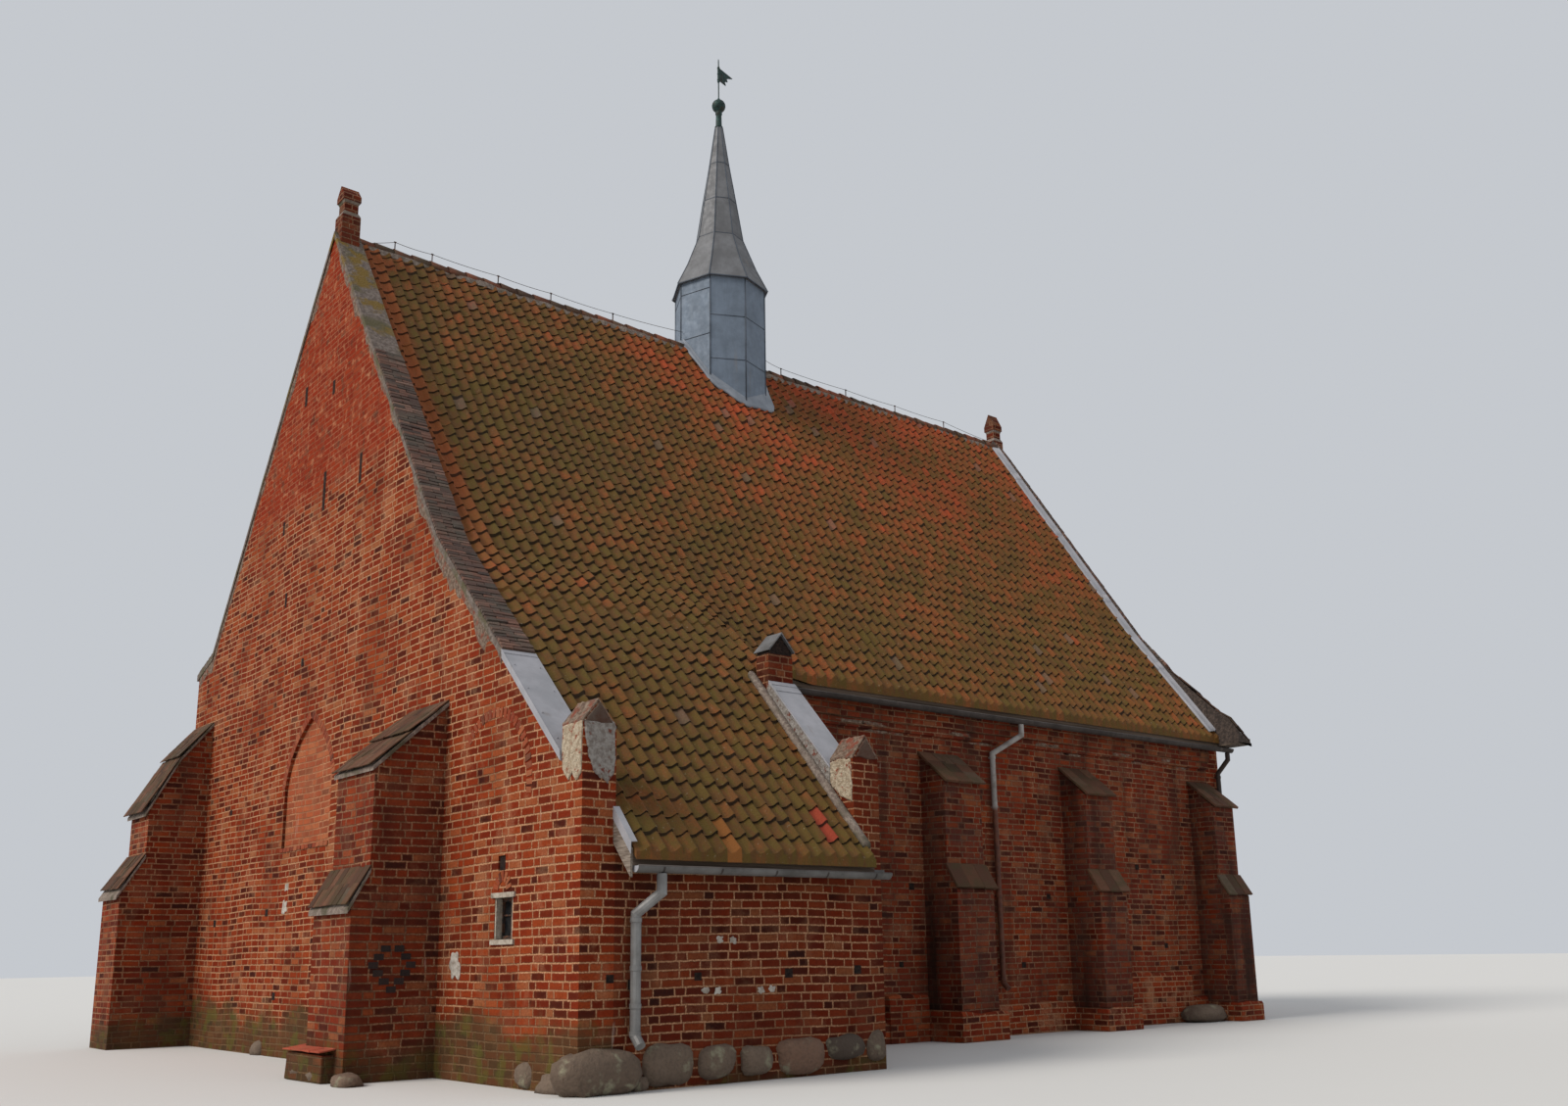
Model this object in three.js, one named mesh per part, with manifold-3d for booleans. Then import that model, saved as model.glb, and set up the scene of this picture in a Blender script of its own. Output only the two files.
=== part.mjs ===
// A small brick village church: one nave under a steep tiled roof, a sacristy under the
// roof's long low tail, two parapet gables, stepped buttresses and a ridge turret.
// Millimetres, +Z up. X runs along the ridge from the gable beside the sacristy,
// Y runs from the sacristy side to the far side.
import * as THREE from "three";
import { mergeVertices } from "three/addons/utils/BufferGeometryUtils.js";
import Module from "manifold-3d";

const wasm = await Module();
wasm.setup();

// Driving dimensions
const GAP = 0.3; // joint between neighbouring pieces
const LENGTH = 18050; // over both gables
const NAVE_NORTH = 3450; // outer face of the nave wall behind the sacristy
const NAVE_SOUTH = 14410; // outer face of the far nave wall
const AXIS = (NAVE_NORTH + NAVE_SOUTH) / 2; // ridge line
const PARAPET = 450; // gable and sacristy walls
const NAVE_WALL = 600; // long walls of the nave
const SACRISTY_LENGTH = 4600; // sacristy, from the gable's face to its own end wall

const RIDGE = 14150; // top of the tiles at the ridge
const KNEE_IN = 3930; // ridge line to the knee where the roof turns flatter
const KNEE = 8250; // height of the knee
const EAVE_OUT = 350; // eave in front of the nave wall
const EAVE = 5750; // tile edge at the nave eave
const ROOF_DEPTH = 280; // tiles, battens and rafters, measured upright
const SACRISTY_EAVE_OUT = 360;
const SACRISTY_EAVE = 2620;
const TAIL_MEETS = 6200; // how far up the slope, along Y, the tail still stands higher
const TAIL_FROM = 3400; // the lifted tail of the roof dies out between these two
const TAIL_TO = 6200;

const SHOULDER = 14100; // top of the gable coping on the inner face
const SHOULDER_HALF = 280; // half the level stretch there
const RAKE_FOOT = 7250; // where the steep rake ends
const RAKE_FOOT_IN = 4980; // and how far from the ridge line
const COPING = 120; // coping thickness, measured upright
const LIP = 30; // how far a coping stands out past the wall's face
const STUMP_INNER = 450; // the corner stump takes up the first stretch of the low rake
const LOW_RAKE_FOOT = 3800; // coping top where it meets the corner stump
const STUMP = { deep: 400, eave: 4100, top: 4350 };
const ZINC_TOP_Y = 1940; // upper end of the zinc on the low rake
const KNEELER = 6980; // coping end over the far corner
const KNEELER_OUT = 50; // its reach past the corner
// The far rake's coping leans outwards: its outer edge runs lower, from its own peak.
const OUTER_PEAK = [8616, 14050];
const OUTER_FOOT = [13630, 7260];
const WEST_RISE = { inner: 200, outer: -130 }; // coping over the tiles at the other gable
const WEST_FLARE = [
  [2600, 5750],
  [2800, 6020],
  [3090, 6230],
  [3540, 6660],
  [4150, 7270],
]; // where that coping flares out over the eave
const WEST_KNEELER = 5650; // underside of its end

const mm = (...p) => new THREE.Vector2(...p);
const church = new THREE.Group();

// Finishes
const finish = (color, roughness, metalness = 0) =>
  new THREE.MeshStandardMaterial({ color, roughness, metalness });
const brick = finish(0xa4482f, 0.9);
const tile = finish(0x8f4a2c, 0.85);
const darkTile = finish(0x4a3f3c, 0.9);
const zinc = finish(0x9aa3a8, 0.5, 0.6);
const darkZinc = finish(0x55595c, 0.55, 0.6);
const stone = finish(0x8f8a80, 0.9);
const timber = finish(0x6b5a48, 0.85);
const copper = finish(0x1f2b2a, 0.5, 0.5);
const pipeBrown = finish(0x5a4038, 0.6, 0.3);

function add(name, geometry, material) {
  const mesh = new THREE.Mesh(geometry, material);
  mesh.name = name;
  church.add(mesh);
  return mesh;
}

// A closed mesh as a solid that can be cut and joined, and back again.
function solid(geometry) {
  const bare = geometry.clone();
  bare.deleteAttribute("normal");
  bare.deleteAttribute("uv");
  const merged = mergeVertices(bare, 1e-3);
  return new wasm.Manifold(
    new wasm.Mesh({
      numProp: 3,
      vertProperties: merged.attributes.position.array,
      triVerts: new Uint32Array(merged.index.array),
    }),
  );
}
function geometryOf(made) {
  const mesh = made.getMesh();
  const geometry = new THREE.BufferGeometry();
  geometry.setAttribute("position", new THREE.BufferAttribute(mesh.vertProperties, 3));
  geometry.setIndex(new THREE.BufferAttribute(mesh.triVerts, 1));
  geometry.computeVertexNormals();
  return geometry;
}
const join = (...pieces) => geometryOf(pieces.map(solid).reduce((a, b) => a.add(b)));
const cut = (piece, ...tools) =>
  geometryOf(tools.map(solid).reduce((a, b) => a.subtract(b), solid(piece)));

// An outline of [y, z] points carried along X, or of [x, z] points carried along Y.
const AXES_ALONG_X = new THREE.Matrix4().set(0, 0, 1, 0, 1, 0, 0, 0, 0, 1, 0, 0, 0, 0, 0, 1);
const AXES_ALONG_Y = new THREE.Matrix4().set(1, 0, 0, 0, 0, 0, -1, 0, 0, 1, 0, 0, 0, 0, 0, 1);
const outlineOf = (points) => new THREE.Shape(points.map((p) => mm(...p)));
function carry(shape, depth, axes, curveSegments = 10) {
  const geometry = new THREE.ExtrudeGeometry(shape, { depth, bevelEnabled: false, curveSegments });
  return geometry.applyMatrix4(axes);
}
function alongX(points, from, to, holes = []) {
  const shape = points instanceof THREE.Shape ? points : outlineOf(points);
  shape.holes.push(...holes);
  return carry(shape, to - from, AXES_ALONG_X).translate(from, 0, 0);
}
function alongY(points, from, to, holes = []) {
  const shape = points instanceof THREE.Shape ? points : outlineOf(points);
  shape.holes.push(...holes);
  return carry(shape, to - from, AXES_ALONG_Y).translate(0, to, 0);
}
function block(x0, x1, y0, y1, z0, z1) {
  const geometry = new THREE.BoxGeometry(x1 - x0, y1 - y0, z1 - z0);
  return geometry.translate((x0 + x1) / 2, (y0 + y1) / 2, (z0 + z1) / 2);
}

// A solid over a grid of stations, between a lower and an upper height.
function between(xs, ys, low, high) {
  const across = ys.length;
  const layer = xs.length * across;
  const points = [];
  for (const height of [low, high])
    for (const x of xs) for (const y of ys) points.push(x, y, height(x, y));
  const at = (i, j, top) => (top ? layer : 0) + i * across + j;
  const faces = [];
  const quad = (a, b, c, d) => faces.push(a, b, c, a, c, d);
  for (let i = 0; i + 1 < xs.length; i++)
    for (let j = 0; j + 1 < across; j++) {
      quad(at(i, j, 1), at(i + 1, j, 1), at(i + 1, j + 1, 1), at(i, j + 1, 1));
      quad(at(i, j, 0), at(i, j + 1, 0), at(i + 1, j + 1, 0), at(i + 1, j, 0));
    }
  const last = [xs.length - 1, across - 1];
  for (let i = 0; i + 1 < xs.length; i++) {
    quad(at(i, 0, 0), at(i + 1, 0, 0), at(i + 1, 0, 1), at(i, 0, 1));
    quad(at(i + 1, last[1], 0), at(i, last[1], 0), at(i, last[1], 1), at(i + 1, last[1], 1));
  }
  for (let j = 0; j + 1 < across; j++) {
    quad(at(0, j + 1, 0), at(0, j, 0), at(0, j, 1), at(0, j + 1, 1));
    quad(at(last[0], j, 0), at(last[0], j + 1, 0), at(last[0], j + 1, 1), at(last[0], j, 1));
  }
  const geometry = new THREE.BufferGeometry();
  geometry.setAttribute("position", new THREE.Float32BufferAttribute(points, 3));
  geometry.setIndex(faces);
  return geometry.toNonIndexed();
}

// Heights of the tiled roof. Each profile is a list of [y, z] joined by straight lines.
function height(profile, y) {
  const next = Math.max(1, profile.findIndex((p) => p[0] >= y));
  const [y0, z0] = profile[next - 1];
  const [y1, z1] = profile[next];
  return z0 + ((z1 - z0) * (y - y0)) / (y1 - y0);
}
const eaveY = NAVE_NORTH - EAVE_OUT;
const naveProfile = [
  [eaveY, EAVE],
  [AXIS - KNEE_IN, KNEE],
  [AXIS, RIDGE],
];
const tailProfile = [
  [-SACRISTY_EAVE_OUT, SACRISTY_EAVE],
  [ZINC_TOP_Y, 5200],
  [eaveY, 6330],
  [3950, 7150],
  [AXIS - KNEE_IN, 8450],
  [TAIL_MEETS, height(naveProfile, TAIL_MEETS)],
  [AXIS, RIDGE],
];
const fade = (t) => t * t * (3 - 2 * t);
function roofNorth(x, y) {
  const t = THREE.MathUtils.clamp((x - TAIL_FROM) / (TAIL_TO - TAIL_FROM), 0, 1);
  const tail = height(tailProfile, y);
  return y < eaveY ? tail : THREE.MathUtils.lerp(tail, height(naveProfile, y), fade(t));
}
const roofSouth = (x, y) => height(naveProfile, 2 * AXIS - y);
const EAVE_DEPTH = 170; // the roof is thinner where it hangs over the gutters
function depthAt(y) {
  const north = Math.min(y, 2 * AXIS - y);
  const [edge, wall] = north < eaveY - GAP ? [-SACRISTY_EAVE_OUT, 0] : [eaveY, NAVE_NORTH];
  const t = THREE.MathUtils.clamp((north - edge) / (wall - edge), 0, 1);
  return THREE.MathUtils.lerp(EAVE_DEPTH, ROOF_DEPTH, t);
}
const under = (roof) => (x, y) => roof(x, y) - depthAt(y);
const floor = () => 0;

// Tops of the gable copings. The walls end one coping lower.
const westX = LENGTH - PARAPET;
const lower = (points, by) => points.map(([y, z]) => [y, z - by]);
const northRake = [
  [STUMP_INNER, LOW_RAKE_FOOT],
  [AXIS - RAKE_FOOT_IN, RAKE_FOOT],
];
const kneeler = [NAVE_SOUTH + KNEELER_OUT, KNEELER];
const innerRake = [
  ...northRake,
  [AXIS - SHOULDER_HALF, SHOULDER],
  [AXIS + SHOULDER_HALF, SHOULDER],
  [AXIS + RAKE_FOOT_IN, RAKE_FOOT],
  kneeler,
];
const outerRake = [...northRake, OUTER_PEAK, OUTER_FOOT, kneeler];
const wallEnds = [[NAVE_NORTH], [NAVE_SOUTH]];
const eastKinks = [innerRake, outerRake, wallEnds];
function eastTop(x, y) {
  const t = (x + LIP) / (PARAPET + LIP);
  return THREE.MathUtils.lerp(height(outerRake, y), height(innerRake, y), t);
}
const westRake = [
  ...WEST_FLARE,
  [AXIS - KNEE_IN, KNEE],
  [AXIS, RIDGE],
];
function westTop(x, y) {
  const north = Math.min(y, 2 * AXIS - y);
  const tiles = height(westRake, north);
  const rise = north < WEST_FLARE.at(-1)[0] + 1 ? 0 : 1;
  const fall = (x - westX) / (PARAPET + LIP);
  const lean = THREE.MathUtils.lerp(WEST_RISE.inner, WEST_RISE.outer, fall);
  return tiles + (rise ? lean : lean - (WEST_RISE.inner + WEST_RISE.outer) / 2);
}
const lessCoping = (top) => (x, y) => top(x, y) - COPING;
const lessBedded = (top) => (x, y) => top(x, y) - COPING + 3 * GAP;
// Stations along the rakes: every kink that lies strictly inside, and both ends.
function stations(profiles, from, to) {
  const kinks = profiles.flat().map(([y]) => y);
  const inside = kinks.filter((y) => y > from && y < to);
  return [...new Set([from, ...inside, to])].sort((a, b) => a - b);
}

// Gable beside the sacristy: nave gable and sacristy front in one wall, with a blocked
// pointed window sunk into it and a slit window.
const NICHE_HALF = 980;
const NICHE_SILL = 3250;
const NICHE_SPRING = 4220;
const NICHE_APEX = 5280;
const NICHE_DEPTH = 70;
const NICHE_Y = 8330;
const SLIT = { y: 1745, half: 225, sill: 1680, head: 2175, stone: 60, reach: 285, depth: 230 };
const VENT = { y: 1820, half: 90, low: 2500, high: 2680, depth: 120 };
const SEAT = 1; // play around the sill and lintel stones
const STONE_OUT = 25; // how far they stand out
function pointedArch(centre, half, sill, spring, apex) {
  const shape = new THREE.Shape();
  shape.moveTo(centre - half, sill);
  shape.lineTo(centre + half, sill);
  shape.lineTo(centre + half, spring);
  shape.quadraticCurveTo(centre + half * 0.85, spring + (apex - spring) * 0.62, centre, apex);
  shape.quadraticCurveTo(centre - half * 0.85, spring + (apex - spring) * 0.62, centre - half, spring);
  return shape;
}
// A post stands in a notch of the gable's top, so the copings are cut around it.
const POST_HALF = 165;
const POST_SHAFT = 125;
const EAST_POST = { x: 200, y: 8600, foot: 13600, waist: 14350, neck: 14650, eave: 14750, top: 14950 };
const WEST_POST = { x: 17800, y: 9080, foot: 13600, waist: 14350, neck: 14650, eave: 14780, top: 15100 };
function notch(post) {
  const play = POST_HALF + GAP;
  return block(post.x - play, post.x + play, post.y - play, post.y + play, post.foot, post.top);
}
function saddle(x0, x1, y0, y1, eave, top, rooted) {
  return alongY(
    [
      [x0, eave - rooted],
      [x1, eave - rooted],
      [x1, eave],
      [(x0 + x1) / 2, top],
      [x0, eave],
    ],
    y0,
    y1,
  );
}
{
  const ys = stations(eastKinks, STUMP_INNER, NAVE_SOUTH);
  const raked = cut(
    between([-LIP, PARAPET], ys, floor, lessCoping(eastTop)),
    block(-2 * LIP, 0, 0, NAVE_SOUTH + LIP, -LIP, RIDGE),
  );
  const corner = block(0, PARAPET, 0, STUMP_INNER, 0, STUMP.eave);
  const stump = saddle(0, STUMP.deep, 0, STUMP_INNER, STUMP.eave, STUMP.top, COPING);
  const slit = block(
    -LIP, PARAPET + LIP, SLIT.y - SLIT.half, SLIT.y + SLIT.half, SLIT.sill, SLIT.head,
  );
  const vent = block(
    -LIP, VENT.depth, VENT.y - VENT.half, VENT.y + VENT.half, VENT.low, VENT.high,
  );
  const niche = alongX(
    pointedArch(NICHE_Y, NICHE_HALF, NICHE_SILL, NICHE_SPRING, NICHE_APEX),
    -NICHE_DEPTH,
    NICHE_DEPTH,
  );
  const stones = [
    ["slit_sill", SLIT.sill - SLIT.stone],
    ["slit_lintel", SLIT.head],
  ];
  const seats = stones.map(([, z]) =>
    block(
      -2 * STONE_OUT, SLIT.depth, SLIT.y - SLIT.reach, SLIT.y + SLIT.reach,
      z - SEAT, z + SLIT.stone + SEAT,
    ),
  );
  const wall = join(raked, corner, stump);
  add("east_gable_wall", cut(wall, slit, vent, niche, notch(EAST_POST), ...seats), brick);
  for (const [name, z] of stones) {
    const reach = SLIT.reach - GAP;
    const slab = block(
      -STONE_OUT, SLIT.depth - GAP, SLIT.y - reach, SLIT.y + reach, z, z + SLIT.stone,
    );
    add(name, slab, stone);
  }
}

// Gable at the other end, with the church's door
const DOOR = { half: 620, spring: 1500, apex: 2450, leaf: 80, inset: 150, threshold: 5 };
const CLEAR = 100; // how far a cutting shape runs past the wall it cuts
const bothSides = (points) => [...points, ...points.map(([y, z]) => [2 * AXIS - y, z])];
const westKinks = [bothSides(westRake), wallEnds];
{
  const wall = cut(
    between([westX, LENGTH + LIP], stations(westKinks, NAVE_NORTH, NAVE_SOUTH), floor,
      lessCoping(westTop)),
    block(LENGTH, LENGTH + 2 * LIP, NAVE_NORTH - LIP, NAVE_SOUTH + LIP, -LIP, RIDGE + LIP),
  );
  const way = pointedArch(AXIS, DOOR.half, -CLEAR, DOOR.spring, DOOR.apex);
  const doorway = alongX(way, westX - CLEAR, LENGTH + CLEAR);
  add("west_gable_wall", cut(wall, doorway, notch(WEST_POST)), brick);
  const leafHalf = DOOR.half - GAP;
  const leafShape = pointedArch(AXIS, leafHalf, DOOR.threshold, DOOR.spring, DOOR.apex - GAP);
  const leafX = LENGTH - DOOR.inset - DOOR.leaf;
  add("west_door", alongX(leafShape, leafX, leafX + DOOR.leaf), timber);
}

// Long walls of the nave, cut to the slope of the roof they carry
const naveFrom = PARAPET + GAP;
const naveTo = westX - GAP;
const sacristyEnd = SACRISTY_LENGTH;
const sacristyIn = SACRISTY_LENGTH - PARAPET;
const tailStations = [TAIL_FROM, 3800, 4130, sacristyEnd, 5000, 5500, TAIL_TO];
const MID_WALL = 3950; // the tail's kink above the nave wall
const naveStations = [naveFrom, ...tailStations, naveTo];
const belowRoof = (roof) => (x, y) => roof(x, y) - ROOF_DEPTH - GAP;
add(
  "nave_north_wall",
  between(
    naveStations,
    [NAVE_NORTH, MID_WALL, NAVE_NORTH + NAVE_WALL],
    floor,
    belowRoof(roofNorth),
  ),
  brick,
);
add(
  "nave_south_wall",
  between([naveFrom, naveTo], [NAVE_SOUTH - NAVE_WALL, NAVE_SOUTH], floor, belowRoof(roofSouth)),
  brick,
);

// Sacristy walls: its end wall rises through the roof as a parapet with two stumps
const WEST_COPING = { low: 450, high: 1740, lowZ: 3915, highZ: 5305 };
const STUB = { from: 1740, to: 2020, top: 5710, ridge: 6050, over: 40 };
const TILES_OVER = 40; // the parapet behind the stub lies this far under the tiles' face
const WEST_STUMP = { inner: 450, eave: 4000, top: 4280 };
add(
  "sacristy_north_wall",
  between(
    [naveFrom, sacristyIn - GAP],
    [0, PARAPET],
    floor,
    belowRoof(roofNorth),
  ),
  brick,
);
{
  const topBehind = (y) => height(tailProfile, y) - TILES_OVER;
  const outline = [
    [0, 0],
    [NAVE_NORTH - GAP, 0],
    [NAVE_NORTH - GAP, EAVE - ROOF_DEPTH],
    [eaveY - GAP, EAVE - ROOF_DEPTH],
    [eaveY - GAP, topBehind(eaveY) - GAP],
    [STUB.to, topBehind(STUB.to)],
    [STUB.to, STUB.top],
    [STUB.from, STUB.top],
    [WEST_COPING.high, WEST_COPING.highZ - COPING],
    [WEST_COPING.low, WEST_COPING.lowZ - COPING],
    [WEST_STUMP.inner, WEST_STUMP.eave],
    [0, WEST_STUMP.eave],
  ];
  const { inner, eave, top } = WEST_STUMP;
  const stump = saddle(sacristyIn, sacristyEnd, 0, inner, eave, top, COPING);
  add("sacristy_west_wall", join(alongX(outline, sacristyIn, sacristyEnd), stump), brick);
}

// Roofs
const midTail = (AXIS - KNEE_IN + TAIL_MEETS) / 2;
add(
  "nave_roof_north",
  between(
    naveStations.map((x, i) => (i === 0 ? x + GAP : x)),
    [eaveY, NAVE_NORTH, MID_WALL, AXIS - KNEE_IN, midTail, TAIL_MEETS, AXIS - GAP],
    under(roofNorth),
    roofNorth,
  ),
  tile,
);
add(
  "nave_roof_south",
  between(
    [naveFrom, naveTo],
    [AXIS + GAP, AXIS + KNEE_IN, NAVE_SOUTH, 2 * AXIS - eaveY],
    under(roofSouth),
    roofSouth,
  ),
  tile,
);
add(
  "sacristy_roof",
  between(
    [naveFrom, TAIL_FROM, sacristyIn - GAP],
    [-SACRISTY_EAVE_OUT, 0, ZINC_TOP_Y, eaveY - GAP],
    under(roofNorth),
    roofNorth,
  ),
  tile,
);

// Copings: brick and tile on the rakes, folded zinc sheet on the low rakes
function band(points, x0, x1, thickness = COPING) {
  const bottom = lower(points, thickness - 3 * GAP).reverse();
  return alongX([...points, ...bottom], x0, x1);
}
function eastCoping(from, to) {
  const ys = stations(eastKinks, from, to);
  return cut(
    between([-LIP, PARAPET], ys, lessBedded(eastTop), eastTop),
    notch(EAST_POST),
  );
}
const reversed = (points) => [...points].reverse();
const peak = OUTER_PEAK[0];
add("east_coping_north", eastCoping(ZINC_TOP_Y + GAP, peak - GAP / 2), darkTile);
add("east_coping_south", eastCoping(peak + GAP / 2, kneeler[0]), darkTile);
add("east_zinc_coping", eastCoping(STUMP_INNER + GAP, ZINC_TOP_Y), zinc);
add(
  "sacristy_zinc_coping",
  band(
    [
      [WEST_COPING.high - GAP, WEST_COPING.highZ],
      [WEST_COPING.low + GAP, WEST_COPING.lowZ],
    ],
    sacristyIn,
    sacristyEnd + LIP,
  ),
  zinc,
);
const westXs = [westX, LENGTH + LIP];
for (const [name, tip, face, ridge] of [
  ["west_coping_north", WEST_FLARE[0][0], NAVE_NORTH - GAP, AXIS - GAP / 2],
  ["west_coping_south", 2 * AXIS - WEST_FLARE[0][0], NAVE_SOUTH + GAP, AXIS + GAP / 2],
]) {
  const strip = (y0, y1, low) => {
    const ys = stations(westKinks, Math.min(y0, y1), Math.max(y0, y1));
    return between(westXs, ys, low, westTop);
  };
  const rake = strip(face, ridge, lessBedded(westTop));
  const end = strip(tip, face, () => WEST_KNEELER);
  add(name, cut(join(rake, end), notch(WEST_POST)), darkTile);
}

// Brick posts on both gables, each with a saddle cap
const POST_CAP = 35; // how far the cap stands out past the shaft
for (const [name, post] of [
  ["east_apex_post", EAST_POST],
  ["west_apex_post", WEST_POST],
]) {
  const square = (half, low, high) =>
    block(post.x - half, post.x + half, post.y - half, post.y + half, low, high);
  const half = POST_SHAFT + POST_CAP;
  const cap = alongX(
    [
      [post.y - half, post.neck],
      [post.y + half, post.neck],
      [post.y + half, post.eave],
      [post.y, post.top],
      [post.y - half, post.eave],
    ],
    post.x - half,
    post.x + half,
  );
  const waist = square(POST_HALF, post.foot + GAP, post.waist);
  add(name, join(waist, square(POST_SHAFT, post.waist, post.neck), cap), brick);
}
{
  const { from, to, top, ridge, over } = STUB;
  const [x0, x1] = [sacristyIn - over, sacristyEnd + over];
  const cap = saddle(x0, x1, from - over, to + over, top + 2 * over, ridge, 2 * over - GAP);
  add("parapet_stub_cap", cap, zinc);
}

// Buttresses in two stages under sloping set-offs. `out` counts outwards from the wall.
// Each set-off is a list of [out, height] along its top, from the wall outwards.
const SLAB = 60; // upright thickness of a set-off slab
const SLAB_OVER = 40; // its reach past the sides of the masonry
const eastStages = [
  {
    name: "east_buttress_north",
    from: NAVE_NORTH,
    to: NAVE_NORTH + 1200,
    high: 970,
    low: 1190,
    upper: [[0, 4820], [500, 4360], [1010, 3885]],
    lower: [[970, 2600], [1250, 2090]],
  },
  {
    name: "east_buttress_south",
    from: NAVE_SOUTH - 1110,
    to: NAVE_SOUTH,
    high: 1010,
    low: 1380,
    upper: [[0, 5870], [536, 5180], [1077, 4120]],
    lower: [[1010, 3370], [1450, 2630]],
  },
];
for (const stage of eastStages) {
  const top = ([out, z]) => [-out - GAP, z];
  const masonryTop = (points, out) => height(points, out) - SLAB;
  const outline = [
    [0, 0],
    [stage.low, 0],
    [stage.low, masonryTop(stage.lower, stage.low)],
    [stage.high, masonryTop(stage.lower, stage.high)],
    [stage.high, masonryTop(stage.upper, stage.high)],
    ...reversed(lower(stage.upper.slice(0, -1), SLAB)),
  ].map(top);
  add(stage.name, alongY(reversed(outline), stage.from, stage.to), brick);
  for (const [part, points] of [
    ["_upper_cap", stage.upper],
    ["_lower_cap", stage.lower],
  ]) {
    const face = points.map(([out, z], i) => [-out - (i ? GAP : 2 * GAP), z]);
    const slab = [...face, ...reversed(lower(face, SLAB - 3 * GAP))];
    const ends = [stage.from - SLAB_OVER, stage.to + SLAB_OVER];
    add(stage.name + part, alongY(slab, ...ends), darkTile);
  }
}
function profileOut({ low, high, lowTop, lowFoot, capTop, capFoot }) {
  return [
    [0, 0],
    [low, 0],
    [low, lowFoot],
    [high, lowTop],
    [high, capFoot],
    [0, capTop],
  ];
}
const SIDE = { high: 560, low: 760, lowFoot: 2450, lowTop: 2800, capFoot: 4280, capTop: 4800 };
const sideStations = [
  [8910, 9810],
  [12700, 13500],
  [16880, 17600],
];
sideStations.forEach(([x0, x1], i) => {
  const out = profileOut(SIDE);
  const north = out.map(([o, z]) => [NAVE_NORTH - GAP - o, z]);
  const south = out.map(([o, z]) => [NAVE_SOUTH + GAP + o, z]);
  add("north_buttress_" + (i + 1), alongX(reversed(north), x0, x1), brick);
  add("south_buttress_" + (i + 1), alongX(south, x0, x1), brick);
});

// Eaves: a corbelled brick cornice and half-round gutters
const CORNICE = { depth: 110, foot: 5150, step: 5300 };
const corniceTop = (y) => height(naveProfile, y) - depthAt(y) - GAP * 3;
for (const [name, side, face, from] of [
  ["north_cornice", -1, NAVE_NORTH, sacristyEnd + GAP],
  ["south_cornice", 1, NAVE_SOUTH, naveFrom],
]) {
  const y = (out) => face + side * (out + GAP);
  const top = (out) => corniceTop(NAVE_NORTH - out);
  const outline = [
    [y(0), CORNICE.foot],
    [y(CORNICE.depth / 2), CORNICE.foot],
    [y(CORNICE.depth / 2), CORNICE.step],
    [y(CORNICE.depth), CORNICE.step],
    [y(CORNICE.depth), top(CORNICE.depth)],
    [y(0), top(0)],
  ];
  add(name, alongX(side < 0 ? reversed(outline) : outline, from, naveTo), brick);
}
// A half-round trough hung from the rafter ends by its upturned back edge.
const GUTTER = { radius: 75, sheet: 6, out: 10, drop: 5, clear: 20 };
const SACRISTY_GUTTER = { from: 480, to: 4380 };
function gutter(x0, x1, eave, eaveZ, side, roof) {
  const y = (out) => eave - side * out;
  const z = eaveZ - EAVE_DEPTH - GUTTER.drop;
  const inner = GUTTER.radius - GUTTER.sheet;
  const arc = (radius, count = 8) =>
    Array.from({ length: count + 1 }, (_, i) => {
      const a = (Math.PI * i) / count;
      return [y(GUTTER.out + radius * Math.cos(a)), z - radius * Math.sin(a)];
    });
  const back = y(GUTTER.out - inner);
  const hungAt = under(roof)(x1, back) - GAP;
  const outline = [
    ...arc(GUTTER.radius),
    [y(GUTTER.out - GUTTER.radius), hungAt],
    [back, hungAt],
    ...reversed(arc(inner)),
  ];
  return alongX(side > 0 ? reversed(outline) : outline, x0, x1);
}
const southEave = 2 * AXIS - eaveY;
const sacristyEave = -SACRISTY_EAVE_OUT;
const gutterFrom = sacristyEnd + GUTTER.clear;
add("north_gutter", gutter(gutterFrom, LENGTH, eaveY, EAVE, 1, roofNorth), darkZinc);
add("south_gutter", gutter(naveFrom, LENGTH, southEave, EAVE, -1, roofSouth), darkZinc);
add(
  "sacristy_gutter",
  gutter(SACRISTY_GUTTER.from, SACRISTY_GUTTER.to, sacristyEave, SACRISTY_EAVE, 1, roofNorth),
  zinc,
);

// Downpipes with a swan neck back to the wall, straight stretches mitred where they meet.
// A turned end throws the water clear.
const PIPE_SIDES = 12;
function pipe(points, radius) {
  const way = points.map((p) => new THREE.Vector3(...p));
  const along = way.slice(1).map((p, i) => p.clone().sub(way[i]).normalize());
  const rings = [
    Array.from({ length: PIPE_SIDES }, (_, k) => {
      const a = (2 * Math.PI * k) / PIPE_SIDES;
      const out = new THREE.Vector3(Math.cos(a), Math.sin(a), 0);
      return way[0].clone().addScaledVector(out, radius);
    }),
  ];
  along.forEach((d, i) => {
    const mitre = d.clone().add(along[i + 1] ?? d);
    const onMitre = (q) => mitre.dot(way[i + 1].clone().sub(q)) / mitre.dot(d);
    rings.push(rings[i].map((q) => q.clone().addScaledVector(d, onMitre(q))));
  });
  const faces = [];
  const sides = Array.from({ length: PIPE_SIDES }, (_, k) => [k, (k + 1) % PIPE_SIDES]);
  for (let i = 0; i + 1 < rings.length; i++)
    for (const [k, n] of sides) {
      const [a, b] = [rings[i], rings[i + 1]];
      faces.push(a[k], b[k], b[n], a[k], b[n], a[n]);
    }
  const last = rings.at(-1);
  for (const [k, n] of sides.slice(1, -1)) {
    faces.push(rings[0][0], rings[0][k], rings[0][n], last[0], last[n], last[k]);
  }
  return new THREE.BufferGeometry().setFromPoints(faces);
}
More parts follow.
